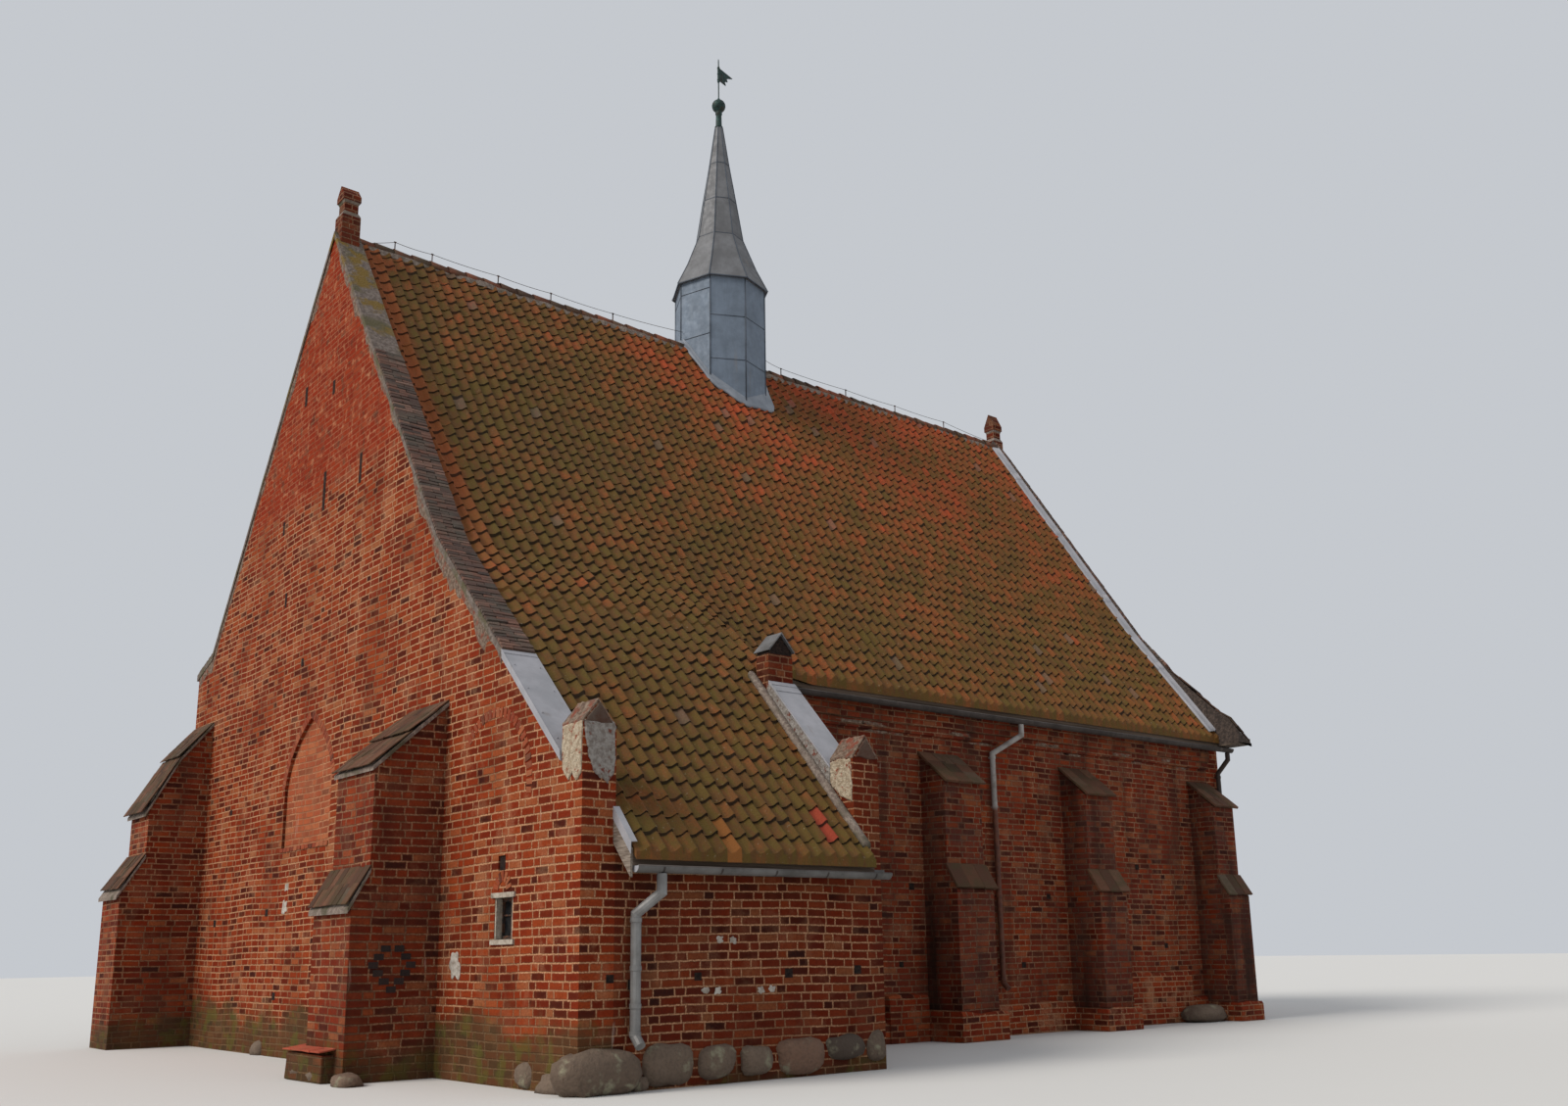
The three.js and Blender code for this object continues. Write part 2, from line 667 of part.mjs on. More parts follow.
// `eave` and `eaveZ` are the roof edge, `side` is -1 towards the sacristy side.
const PIPE_OFF = 40; // from the wall
const SHOE = { out: 110, drop: 110 };
function downpipe(way, eave, eaveZ, wall, side) {
  const y = eave + side * GUTTER.out;
  const z = eaveZ - EAVE_DEPTH - GUTTER.drop - GUTTER.radius - GAP;
  const wallY = wall + side * (way.radius + PIPE_OFF);
  return pipe(
    [
      [way.top, y, z],
      [way.top, y, way.neck],
      [way.x, wallY, way.elbow],
      [way.x, wallY, way.foot],
      [way.x, wallY + side * SHOE.out, way.foot - SHOE.drop],
    ],
    way.radius,
  );
}
const navePipe = { x: 10700, top: 11220, neck: 5300, elbow: 4950, foot: 900, radius: 50 };
const cornerPipe = { x: 17900, top: 17900, neck: 5350, elbow: 5080, foot: 700, radius: 50 };
const sacristyPipe = { x: 675, top: 840, neck: 2160, elbow: 1930, foot: 600, radius: 60 };
add("north_downpipe", downpipe(navePipe, eaveY, EAVE, NAVE_NORTH, -1), pipeBrown);
add("north_corner_downpipe", downpipe(cornerPipe, eaveY, EAVE, NAVE_NORTH, -1), pipeBrown);
add("south_downpipe", downpipe(navePipe, southEave, EAVE, NAVE_SOUTH, 1), pipeBrown);
add("sacristy_downpipe", downpipe(sacristyPipe, sacristyEave, SACRISTY_EAVE, 0, -1), zinc);
const VERGE = { deep: 300, over: 20, thick: 30 };
const boardEdge = (rise) =>
  [-SACRISTY_EAVE_OUT, -GAP].map((y) => [y, roofNorth(0, y) + rise]);
add(
  "verge_board",
  alongX(
    [...boardEdge(-VERGE.deep), ...reversed(boardEdge(VERGE.over))],
    PARAPET - VERGE.thick,
    PARAPET,
  ),
  timber,
);

// Ridge turret: eight-sided drum of zinc sheet, flared spire, ball and weather vane
const TURRET = { x: 8750, drum: 1000, sheet: 50, low: 12600, eave: 15650, turn: -4, sides: 8 };
const SPIRE = [
  [1080, TURRET.eave],
  [830, 16170],
  [535, 16930],
  [387, 17870],
  [230, 18830],
  [90, 19810],
];
const SPIRE_BORE = 0.5; // the spire's hollow comes to a point, left open this little
const SPIRE_TIP = 300; // solid height at the point
const SPIRE_SHEET = 40;
function lathe(profile, sides, turn) {
  const points = profile.map(([r, z]) => mm(r, z));
  points.push(points[0].clone());
  const geometry = new THREE.LatheGeometry(points, sides);
  return geometry.rotateX(Math.PI / 2).rotateZ(THREE.MathUtils.degToRad(turn));
}
const onAxis = (geometry) => geometry.translate(TURRET.x, AXIS, 0);
const cornerTurn = 90 + TURRET.turn;
const tileSlope = (RIDGE - KNEE) / KNEE_IN;
{
  const drum = onAxis(
    lathe(
      [
        [TURRET.drum - TURRET.sheet, TURRET.low],
        [TURRET.drum, TURRET.low],
        [TURRET.drum, TURRET.eave - GAP],
        [TURRET.drum - TURRET.sheet, TURRET.eave - GAP],
      ],
      TURRET.sides,
      cornerTurn,
    ),
  );
  const reach = 2 * TURRET.drum;
  const eaves = RIDGE + SEAT - reach * tileSlope;
  const roofBody = alongX(
    [
      [AXIS - reach, eaves],
      [AXIS - reach, eaves - reach],
      [AXIS + reach, eaves - reach],
      [AXIS + reach, eaves],
      [AXIS, RIDGE + SEAT],
    ],
    TURRET.x - reach,
    TURRET.x + reach,
  );
  add("turret_drum", cut(drum, roofBody), zinc);
  const inner = SPIRE.slice(1, -1).map(([r, z]) => [r - SPIRE_SHEET, z]);
  add(
    "turret_spire",
    onAxis(
      lathe(
        [
          [TURRET.drum - TURRET.sheet, SPIRE[0][1]],
          ...SPIRE,
          [SPIRE_BORE, SPIRE.at(-1)[1]],
          [SPIRE_BORE, SPIRE.at(-1)[1] - SPIRE_TIP],
          ...reversed(inner),
        ],
        TURRET.sides,
        cornerTurn,
      ),
    ),
    zinc,
  );
}
const NECK = 70;
const FILLET = 2; // where the ball meets the neck and the rod
const BALL = { radius: 155, z: 20380, from: -70, to: 82, steps: 8 };
const ROD = { radius: 14, top: 21600, collar: 30, collarTop: 21040, collarHigh: 20, sides: 16 };
{
  const spireTop = SPIRE.at(-1)[1];
  const arc = Array.from({ length: BALL.steps + 1 }, (_, i) => {
    const a = THREE.MathUtils.degToRad(BALL.from + (i * (BALL.to - BALL.from)) / BALL.steps);
    return [BALL.radius * Math.cos(a), BALL.z + BALL.radius * Math.sin(a)];
  });
  const collar = ROD.collarTop - GAP;
  const profile = [
    [0, spireTop + GAP],
    [NECK, spireTop + GAP],
    [NECK, arc[0][1] - FILLET],
    ...arc,
    [ROD.radius, arc.at(-1)[1] + FILLET],
    [ROD.radius, collar - 2 * ROD.collarHigh],
    [ROD.collar, collar - ROD.collarHigh],
    [ROD.collar, collar],
    [ROD.radius, collar],
    [ROD.radius, ROD.top],
    [0, ROD.top],
  ];
  const points = profile.map(([r, z]) => mm(r, z));
  const finial = new THREE.LatheGeometry(points, ROD.sides).rotateX(Math.PI / 2);
  add("turret_finial", onAxis(finial), copper);
}
// The vane is a pennant riveted to a sleeve that turns on the rod.
const VANE = { low: 21040, high: 21400, length: 530, tail: 270, sheet: 8, turn: 15 };
const SLEEVE = { bore: 16, radius: 26, sides: 16, rooted: 4 };
{
  const sleeve = lathe(
    [
      [SLEEVE.bore, VANE.low],
      [SLEEVE.radius, VANE.low],
      [SLEEVE.radius, VANE.high],
      [SLEEVE.bore, VANE.high],
    ],
    SLEEVE.sides,
    0,
  );
  const start = SLEEVE.radius - SLEEVE.rooted;
  const rise = (part) => VANE.low + part * (VANE.high - VANE.low);
  const flag = alongY(
    [
      [start, rise(0.04)],
      [VANE.tail, rise(0.04)],
      [VANE.tail * 0.8, rise(0.3)],
      [VANE.tail * 1.25, rise(0.42)],
      [VANE.tail * 1.1, rise(0.62)],
      [VANE.length, rise(0.96)],
      [start, rise(0.96)],
    ],
    -VANE.sheet / 2,
    VANE.sheet / 2,
  );
  const vane = join(sleeve, flag).rotateZ(THREE.MathUtils.degToRad(VANE.turn));
  add("weather_vane", onAxis(vane), copper);
}

// Ridge tiles on either side of the turret
const RIDGE_TILE = { half: 130, top: 75, bulge: 60, fromGable: 250, fromDrum: 30 };
for (const [name, x0, x1] of [
  ["ridge_tiles_east", naveFrom + RIDGE_TILE.fromGable, TURRET.x - TURRET.drum - RIDGE_TILE.fromDrum],
  ["ridge_tiles_west", TURRET.x + TURRET.drum + RIDGE_TILE.fromDrum, naveTo - RIDGE_TILE.fromGable],
]) {
  const { half, top, bulge } = RIDGE_TILE;
  const edge = RIDGE - half * tileSlope + SEAT;
  const shape = new THREE.Shape();
  shape.moveTo(AXIS - half, edge);
  shape.lineTo(AXIS, RIDGE + SEAT);
  shape.lineTo(AXIS + half, edge);
  shape.quadraticCurveTo(AXIS + half * 0.7, RIDGE + bulge, AXIS, RIDGE + top);
  shape.quadraticCurveTo(AXIS - half * 0.7, RIDGE + bulge, AXIS - half, edge);
  add(name, alongX(shape, x0, x1), tile);
}

// The origin is at the middle of the footprint, on the ground.
const middle = new THREE.Box3().setFromObject(church).getCenter(new THREE.Vector3());
church.position.set(-middle.x, -middle.y, 0);
export default church;
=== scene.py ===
# A small brick village church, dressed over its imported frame. Sizes are in metres. Places on the
# church count from the sacristy's outer corner beside the near gable: x along the ridge, y towards
# the far side, z up from the ground.
import math

import bpy
import numpy as np
from mathutils import Matrix, Vector


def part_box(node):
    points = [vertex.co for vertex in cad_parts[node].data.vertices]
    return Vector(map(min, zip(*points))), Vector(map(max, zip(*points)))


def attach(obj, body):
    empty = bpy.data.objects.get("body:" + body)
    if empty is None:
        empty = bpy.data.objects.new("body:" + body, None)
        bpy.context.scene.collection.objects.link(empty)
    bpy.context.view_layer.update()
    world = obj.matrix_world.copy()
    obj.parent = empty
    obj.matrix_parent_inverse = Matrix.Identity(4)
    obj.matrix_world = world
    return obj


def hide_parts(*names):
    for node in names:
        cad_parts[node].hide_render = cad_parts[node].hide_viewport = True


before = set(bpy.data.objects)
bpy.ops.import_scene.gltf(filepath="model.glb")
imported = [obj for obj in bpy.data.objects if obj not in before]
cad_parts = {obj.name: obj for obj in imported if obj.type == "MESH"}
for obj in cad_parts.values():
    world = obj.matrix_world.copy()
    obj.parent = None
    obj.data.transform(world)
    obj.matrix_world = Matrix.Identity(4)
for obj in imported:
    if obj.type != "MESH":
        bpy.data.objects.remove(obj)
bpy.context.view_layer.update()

corner = np.array(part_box("east_gable_wall")[0])
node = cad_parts

# The view: someone standing off the sacristy's corner looks up at the church. The camera stands
# where the photograph was taken, and its frame is shifted up a little from its axis.
turn, lift, lean = 0.875644, 0.225633, 0.01583
ahead = np.array([math.cos(lift) * math.cos(turn), math.cos(lift) * math.sin(turn), math.sin(lift)])
level = np.array([math.sin(turn), -math.cos(turn), 0.0])
down = np.cross(ahead, level)
right = math.cos(lean) * level + math.sin(lean) * down
down = math.cos(lean) * down - math.sin(lean) * level
stand = corner + (-8.134, -13.348, 1.4842)
WIDE, FOCUS, SHIFT = 1600.0, 1401.2, 85.5  # the picture's width, focal length and shift in its dots
lens = bpy.data.cameras.new("view")
lens.sensor_width = 36.0
lens.lens = lens.sensor_width * FOCUS / WIDE
lens.shift_y = SHIFT / WIDE
lens.clip_end = 500.0
view = bpy.data.objects.new("view", lens)
view.matrix_world = Matrix(
    [[right[i], -down[i], -ahead[i], stand[i]] for i in range(3)] + [[0.0, 0.0, 0.0, 1.0]]
)
bpy.context.scene.collection.objects.link(view)
bpy.context.scene.camera = view

# The stage: a wide pale floor under soft light. A bright overcast sky lights everything, and one
# broad lamp from the near gable's side gives the long north side its shade.
ground = bpy.data.meshes.new("floor")
ground.from_pydata([(-150, -150, 0), (150, -150, 0), (150, 150, 0), (-150, 150, 0)], [], [(0, 1, 2, 3)])
floor = bpy.data.objects.new("floor", ground)
bpy.context.scene.collection.objects.link(floor)
pale = bpy.data.materials.new("pale floor")
pale.use_nodes = True
pale.node_tree.nodes["Principled BSDF"].inputs["Base Color"].default_value = (0.62, 0.61, 0.59, 1)
pale.node_tree.nodes["Principled BSDF"].inputs["Roughness"].default_value = 0.9
ground.materials.append(pale)
sky = bpy.data.worlds.new("overcast")
sky.use_nodes = True
sky.node_tree.nodes["Background"].inputs["Color"].default_value = (0.90, 0.94, 1.0, 1)
sky.node_tree.nodes["Background"].inputs["Strength"].default_value = 0.62
bpy.context.scene.world = sky
bpy.context.scene.view_settings.view_transform = "Standard"
lamp = bpy.data.lights.new("soft sun", "SUN")
lamp.energy = 2.5
lamp.angle = math.radians(28)
lamp.color = (1.0, 0.95, 0.88)
sun = bpy.data.objects.new("soft sun", lamp)
sun.rotation_euler = Vector((-0.75, 0.12, 0.62)).to_track_quat("Z", "Y").to_euler()
bpy.context.scene.collection.objects.link(sun)

# Brickwork: large hand-made bricks, two stretchers and a header in turn, 10 cm to the course, in
# wide lime joints. It makes the gables, the long walls, the sacristy and the buttresses. Old
# walls: rougher and paler high up, green and dark at the foot, washed with lime in streaks.
def wire(tree, kind, inputs=None, **settings):
    """One shader node. Its inputs are numbers, colours or the outputs of other nodes."""
    made = tree.nodes.new(kind)
    for name, value in settings.items():
        setattr(made, name, value)
    for name, value in (inputs or {}).items():
        if isinstance(value, bpy.types.NodeSocket):
            tree.links.new(value, made.inputs[name])
        else:
            made.inputs[name].default_value = value
    return made


def tree_of(*values):
    """The node tree of the first value that is a socket."""
    return next(v for v in values if isinstance(v, bpy.types.NodeSocket)).id_data


def arithmetic(how):
    """A step of arithmetic on up to three numbers that change over the surface."""
    def step(a, b=0.0, c=0.0):
        return wire(tree_of(a, b, c), "ShaderNodeMath", {0: a, 1: b, 2: c}, operation=how).outputs[0]
    return step


add, sub, mul, div, mul_add = map(arithmetic, ("ADD", "SUBTRACT", "MULTIPLY", "DIVIDE", "MULTIPLY_ADD"))
exceeds, short_of, matches, least = map(arithmetic, ("GREATER_THAN", "LESS_THAN", "COMPARE", "MINIMUM"))
whole, magnitude, zigzag = map(arithmetic, ("FLOOR", "ABSOLUTE", "PINGPONG"))


def tinted(part, under, over, how="MIX"):
    """A colour laid over another as far as part says."""
    inputs = {0: part, 6: under, 7: over}
    made = wire(tree_of(part, under, over), "ShaderNodeMix", inputs, data_type="RGBA", blend_type=how)
    return made.outputs[2]


def numbers(place):
    """The three numbers of a place, direction or chance."""
    return wire(place.id_data, "ShaderNodeSeparateXYZ", {0: place}).outputs


def ramped(value, stops):
    """A number turned into colours that run through the stops."""
    made = wire(value.id_data, "ShaderNodeValToRGB", {0: value})
    scale = made.color_ramp
    while len(scale.elements) < len(stops):
        scale.elements.new(1.0)
    for mark, (at, colour) in zip(scale.elements, stops):
        mark.position, mark.color = at, (*colour, 1.0)
    return made.outputs[0]


def eased(value, low, high):
    """0 below low, 1 above high, with a smooth rise between."""
    inputs = {0: value, 1: low, 2: high}
    return wire(value.id_data, "ShaderNodeMapRange", inputs, interpolation_type="SMOOTHSTEP").outputs[0]


def noise(place, scale, detail, rough=0.5):
    """Smooth noise as a number and as a colour."""
    inputs = {"Vector": place, "Scale": scale, "Detail": detail, "Roughness": rough}
    return wire(place.id_data, "ShaderNodeTexNoise", inputs).outputs


def cloudy(place, size, low, high, detail=4.0):
    """Patches of the given size in metres: noise eased between low and high."""
    return eased(noise(place, 1.0 / size, detail, 0.6)[0], low, high)


def stretched(place, scale, turn=(0, 0, 0)):
    """The place turned and stretched: a scale below one draws patches out along its axis."""
    inputs = {"Vector": place, "Rotation": turn, "Scale": scale}
    return wire(place.id_data, "ShaderNodeMapping", inputs).outputs[0]


def layered(place, base, layers):
    """A colour with patches of others over it. A layer is the patches' size in metres, the noise at
    which they begin and are full, their colour, and for some how far they cover and their detail."""
    for size, low, high, colour, *more in layers:
        cover, detail = (*more, *(1.0, 4.0)[len(more):])
        patches = cloudy(place, size, low, high, detail)
        if not isinstance(base, bpy.types.NodeSocket):
            base = (*base, 1)
        base = tinted(patches if cover == 1 else mul(patches, cover), base, (*colour, 1))
    return base


def laid_over(base, *layers):
    """Colours laid over a base in turn. A layer is its mask, how far it covers, and its colour."""
    for mask, cover, colour in layers:
        base = tinted(mul(mask, cover), base, (*colour, 1))
    return base


def new_group(name, takes, gives):
    """A shared effect with named inputs and outputs."""
    made = bpy.data.node_groups.new(name, "ShaderNodeTree")
    for way, sockets in (("INPUT", takes), ("OUTPUT", gives)):
        for title, kind in sockets:
            made.interface.new_socket(name=title, in_out=way, socket_type="NodeSocket" + kind)
    return made, made.nodes.new("NodeGroupInput").outputs, made.nodes.new("NodeGroupOutput").inputs


COURSE, STRETCHER, HEADER, JOINT = 0.100, 0.300, 0.155, 0.0100
bond, given, gives = new_group(
    "brick bond",
    [("Place", "Vector")],
    [("Face", "Float"), ("Chance", "Color"), ("Edge", "Float")],
)
facing = numbers(wire(bond, "ShaderNodeNewGeometry").outputs["True Normal"])
place = numbers(given["Place"])
across = exceeds(magnitude(facing[0]), magnitude(facing[1]))
along = wire(bond, "ShaderNodeMix", {0: across, 2: place[0], 3: place[1]}).outputs[0]
sag = noise(given["Place"], 0.4, 1.0)[0]
ragged = numbers(noise(given["Place"], 16.0, 2.0)[1])
along = mul_add(sub(ragged[0], 0.5), 0.022, along)
up = mul_add(sub(sag, 0.5), 0.10, place[2])
up = mul_add(sub(ragged[1], 0.5), 0.018, up)
rank = whole(div(up, COURSE))
rise = sub(up, mul(rank, COURSE))
period = 2 * STRETCHER + HEADER
slip = wire(bond, "ShaderNodeTexWhiteNoise", {"W": rank}, noise_dimensions="1D").outputs[0]
shift = mul(zigzag(rank, 1.0), period / 2)
shift = mul_add(slip, 0.11, shift)
run = add(along, shift)
lap = whole(div(run, period))
left = sub(run, mul(lap, period))
second = exceeds(left, STRETCHER)
third = exceeds(left, 2 * STRETCHER)
left = sub(left, mul(add(second, third), STRETCHER))
wide = mul_add(third, HEADER - STRETCHER, STRETCHER)
side = least(left, sub(wide, left))
side = least(side, least(rise, sub(COURSE, rise)))
number = mul_add(lap, 3.0, add(second, third))
key = wire(bond, "ShaderNodeCombineXYZ", {0: number, 1: rank, 2: across})
bond.links.new(eased(side, JOINT - 0.003, JOINT + 0.004), gives["Face"])
bond.links.new(wire(bond, "ShaderNodeTexWhiteNoise", {"Vector": key.outputs[0]}).outputs[1], gives["Chance"])
bond.links.new(eased(side, JOINT, JOINT + 0.022), gives["Edge"])

wall, given, gives = new_group(
    "old brickwork",
    [("Place", "Vector"), ("Glow", "Float"), ("Soot and shade", "Float"), ("Bare", "Float"), ("Foot", "Float"),
     ("Crown", "Float")],
    [("Colour", "Color"), ("Roughness", "Float"), ("Height", "Float")],
)
spot = given["Place"]
laid = wire(wall, "ShaderNodeGroup", {"Place": spot}, node_tree=bond)
chance = wire(wall, "ShaderNodeSeparateColor", {0: laid.outputs["Chance"]})
fired = ramped(chance.outputs[0], [
    (0.0, (0.030, 0.009, 0.007)), (0.08, (0.075, 0.012, 0.005)), (0.24, (0.155, 0.017, 0.005)),
    (0.60, (0.245, 0.029, 0.007)), (0.87, (0.320, 0.056, 0.014)), (1.0, (0.340, 0.115, 0.045)),
])
mottle = cloudy(spot, 0.035, 0.3, 0.75)
fired = laid_over(
    fired, (mottle, 0.5, (0.105, 0.013, 0.005)),
    (cloudy(spot, 0.6, 0.45, 0.7), 0.30, (0.34, 0.052, 0.010)),
    (sub(1.0, laid.outputs["Edge"]), 0.25, (0.20, 0.055, 0.024)),
)
glow = wire(wall, "ShaderNodeCombineColor", {k: given["Glow"] for k in range(3)})
fired = tinted(1.0, fired, glow.outputs[0], "MULTIPLY")
grit = cloudy(spot, 0.02, 0.35, 0.7)
# Soot darkens the mortar and lays dark patches and black streaks on the brick: real soot, and on the walls of
# the shaded side painted shade as well.
lime = laid_over(
    tinted(grit, (0.28, 0.125, 0.060, 1), (0.66, 0.365, 0.205, 1)),
    (cloudy(spot, 1.3, 0.45, 0.65), 0.65, (0.115, 0.045, 0.022)),
    (given["Soot and shade"], 0.7, (0.090, 0.042, 0.028)),
)
face = mul(laid.outputs["Face"], sub(1.0, mul(given["Bare"], cloudy(spot, 0.5, 0.52, 0.62))))
height_up = numbers(spot)[2]
crown = eased(sub(height_up, given["Crown"]), -0.25, 0.35)
smear = layered(spot, (0.235, 0.022, 0.006), [
    (0.14, 0.54, 0.66, (0.42, 0.17, 0.085), 1.0, 6.0), (0.25, 0.55, 0.65, (0.10, 0.028, 0.016), 1.0, 6.0),
])
colour = tinted(mul(crown, 0.62), tinted(face, lime, fired), smear)
damp = eased(sub(given["Foot"], mul_add(noise(spot, 1.1, 5.0)[0], 1.3, sub(height_up, 0.65))), 0.0, 0.35)
streak = stretched(spot, (1.0, 1.0, 0.13))
black = mul(cloudy(streak, 0.55, 0.42, 0.72, detail=6.0), given["Soot and shade"])
colour = laid_over(
    colour, (cloudy(spot, 0.9, 0.56, 0.72), 0.08, (0.34, 0.13, 0.055)),
    (damp, 0.72, (0.060, 0.044, 0.020)),
    (mul(damp, cloudy(spot, 0.35, 0.5, 0.62)), 0.5, (0.10, 0.10, 0.020)),
    (mul(cloudy(spot, 0.30, 0.30, 0.65, detail=6.0), given["Soot and shade"]), 0.55, (0.052, 0.036, 0.031)),
)
colour = tinted(black, colour, (0.032, 0.016, 0.012, 1))
colour = laid_over(colour, (cloudy(streak, 0.28, 0.70, 0.76, detail=5.0), 0.45, (0.50, 0.40, 0.32)))
wall.links.new(colour, gives["Colour"])
wall.links.new(mul_add(face, -0.06, 0.93), gives["Roughness"])
relief = mul_add(grit, 0.16, mul_add(mottle, 0.18, face))
wall.links.new(mul_add(chance.outputs[1], 0.35, relief), gives["Height"])


def finish(name):
    """A material with its shader, and the place on the church in metres from the corner."""
    made = bpy.data.materials.new(name)
    made.use_nodes = True
    tree = made.node_tree
    spot = wire(
        tree, "ShaderNodeMapping",
        {"Vector": wire(tree, "ShaderNodeTexCoord").outputs["Object"], "Location": -corner},
        vector_type="POINT",
    ).outputs[0]
    shader = tree.nodes["Principled BSDF"].inputs
    shader["Specular IOR Level"].default_value = 0.22
    return made, tree, shader, spot


def bump(shader, height, depth):
    """Relief of the given depth in metres where height goes from 0 to 1."""
    made = wire(height.id_data, "ShaderNodeBump", {"Height": height, "Distance": depth, "Strength": 1.0})
    height.id_data.links.new(made.outputs[0], shader["Normal"])


def coated(name, base, layers, rough, grain, depth, metallic=0.0, gloss=0.22, stretch=None, turn=(0, 0, 0)):
    """A material in layers over a base colour, or over colours of chance for each loose piece. grain
    is the size, the begin, the full value and the detail of its relief."""
    made, tree, shader, place = finish(name)
    if stretch:
        place = stretched(place, stretch, turn)
    if isinstance(base, list):
        base = ramped(wire(tree, "ShaderNodeNewGeometry").outputs["Random Per Island"], base)
    tree.links.new(layered(place, base, layers), shader["Base Color"])
    shader["Roughness"].default_value = rough
    shader["Metallic"].default_value = metallic
    shader["Specular IOR Level"].default_value = gloss
    bump(shader, cloudy(place, *grain), depth)
    return made


def dress(material, *names):
    """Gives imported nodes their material."""
    for name in names:
        node[name].data.materials.clear()
        node[name].data.materials.append(material)


def brickwork(name, glow=1.0, soot_and_shade=0.15, bare=0.25, foot=0.5, depth=0.010, crown=30.0):
    """Old brickwork: bricks brighter with glow, darker and streaked black with soot (real soot, and on the
    walls of the shaded side painted shade as well), more mortar with bare, damp up to foot, and above crown
    redder with the mortar smeared."""
    made, tree, shader, spot = finish(name)
    old = wire(
        tree, "ShaderNodeGroup",
        {
            "Place": spot, "Glow": glow, "Soot and shade": soot_and_shade, "Bare": bare, "Foot": foot, "Crown": crown,
        }, node_tree=wall,
    )
    tree.links.new(old.outputs["Colour"], shader["Base Color"])
    tree.links.new(old.outputs["Roughness"], shader["Roughness"])
    shader["Specular IOR Level"].default_value = 0.05
    bump(shader, old.outputs["Height"], depth)
    return made


# Painted shade in part: the sacristy, long wall and side buttress copies are darker than the gable's brick,
# by lower glow and more soot, to paint the shade of the church's north side; the rest is real soot streaking.
gable_brick = brickwork("gable brick", glow=0.90, soot_and_shade=0.08, bare=0.2, foot=0.90, crown=9.1)
long_wall_brick = brickwork("long wall brick", glow=0.92, soot_and_shade=0.58, bare=0.25, foot=0.4)
sacristy_brick = brickwork("sacristy brick", glow=0.60, soot_and_shade=0.22, bare=0.12, foot=0.25)
buttress_brick = brickwork("buttress brick", glow=0.95, soot_and_shade=0.40, bare=0.2, foot=0.5)
side_brick = brickwork("side buttress brick", glow=0.72, soot_and_shade=0.95, bare=0.2, foot=0.3)
dress(gable_brick, "east_gable_wall", "west_gable_wall")
dress(long_wall_brick, "nave_north_wall", "nave_south_wall", "north_cornice", "south_cornice")
dress(sacristy_brick, "sacristy_north_wall", "sacristy_west_wall")
dress(buttress_brick, "east_buttress_north", "east_buttress_south")
dress(side_brick, *(f"{hand}_buttress_{i}" for hand in ("north", "south") for i in (1, 2, 3)))


# Blocked window: the pointed opening in the near gable was walled up. A ring of bricks on end
# frames it, and the filling is flatter, younger and more orange than the wall around it.
def laid_bricks(centre, half, rng, rough=0.004, axes=np.eye(3)):
    """Boxes: corner = centre + the sum over three axes of sign * half size * axis, each corner moved
    by a little chance. centre is n by 3, half is 3 or n by 3, axes is 3 by 3 or n by 3 by 3."""
    centre = np.atleast_2d(centre)
    count = len(centre)
    half = np.broadcast_to(half, (count, 3))
    axes = np.broadcast_to(axes, (count, 3, 3))
    sign = np.array([[x, y, z] for z in (-1, 1) for y in (-1, 1) for x in (-1, 1)], float)
    spots = centre[:, None] + np.einsum("kc,nc,ncd->nkd", sign, half, axes)
    spots = spots + rng.normal(0, rough, spots.shape)
    quads = np.array([[0, 2, 3, 1], [4, 5, 7, 6], [0, 1, 5, 4], [2, 6, 7, 3], [0, 4, 6, 2], [1, 3, 7, 5]])
    return spots.reshape(-1, 3), (quads[None] + 8 * np.arange(count)[:, None, None]).reshape(-1, 4)


x_axis, y_axis, z_axis = np.eye(3)


def spots_at(x, y, z):
    """Points whose coordinates are numbers or arrays of one shape."""
    return np.stack(np.broadcast_arrays(x, y, z), -1).astype(float)


def full_turn(count):
    """Even steps of angle around a circle."""
    return np.linspace(0, 2 * np.pi, count, endpoint=False)


def bricks_on_curve(x, middle, outward, along, half, rng, rough=0.003):
    """Bricks along a curve in the plane at x. Each lies outward from the curve and along it."""
    ways = [np.insert(way, 0, 0.0, axis=1) for way in (outward, along)]
    frames = np.stack([np.tile(x_axis, (len(middle), 1)), *ways], 1)
    return laid_bricks(np.insert(middle, 0, x, axis=1), half, rng, rough, frames)


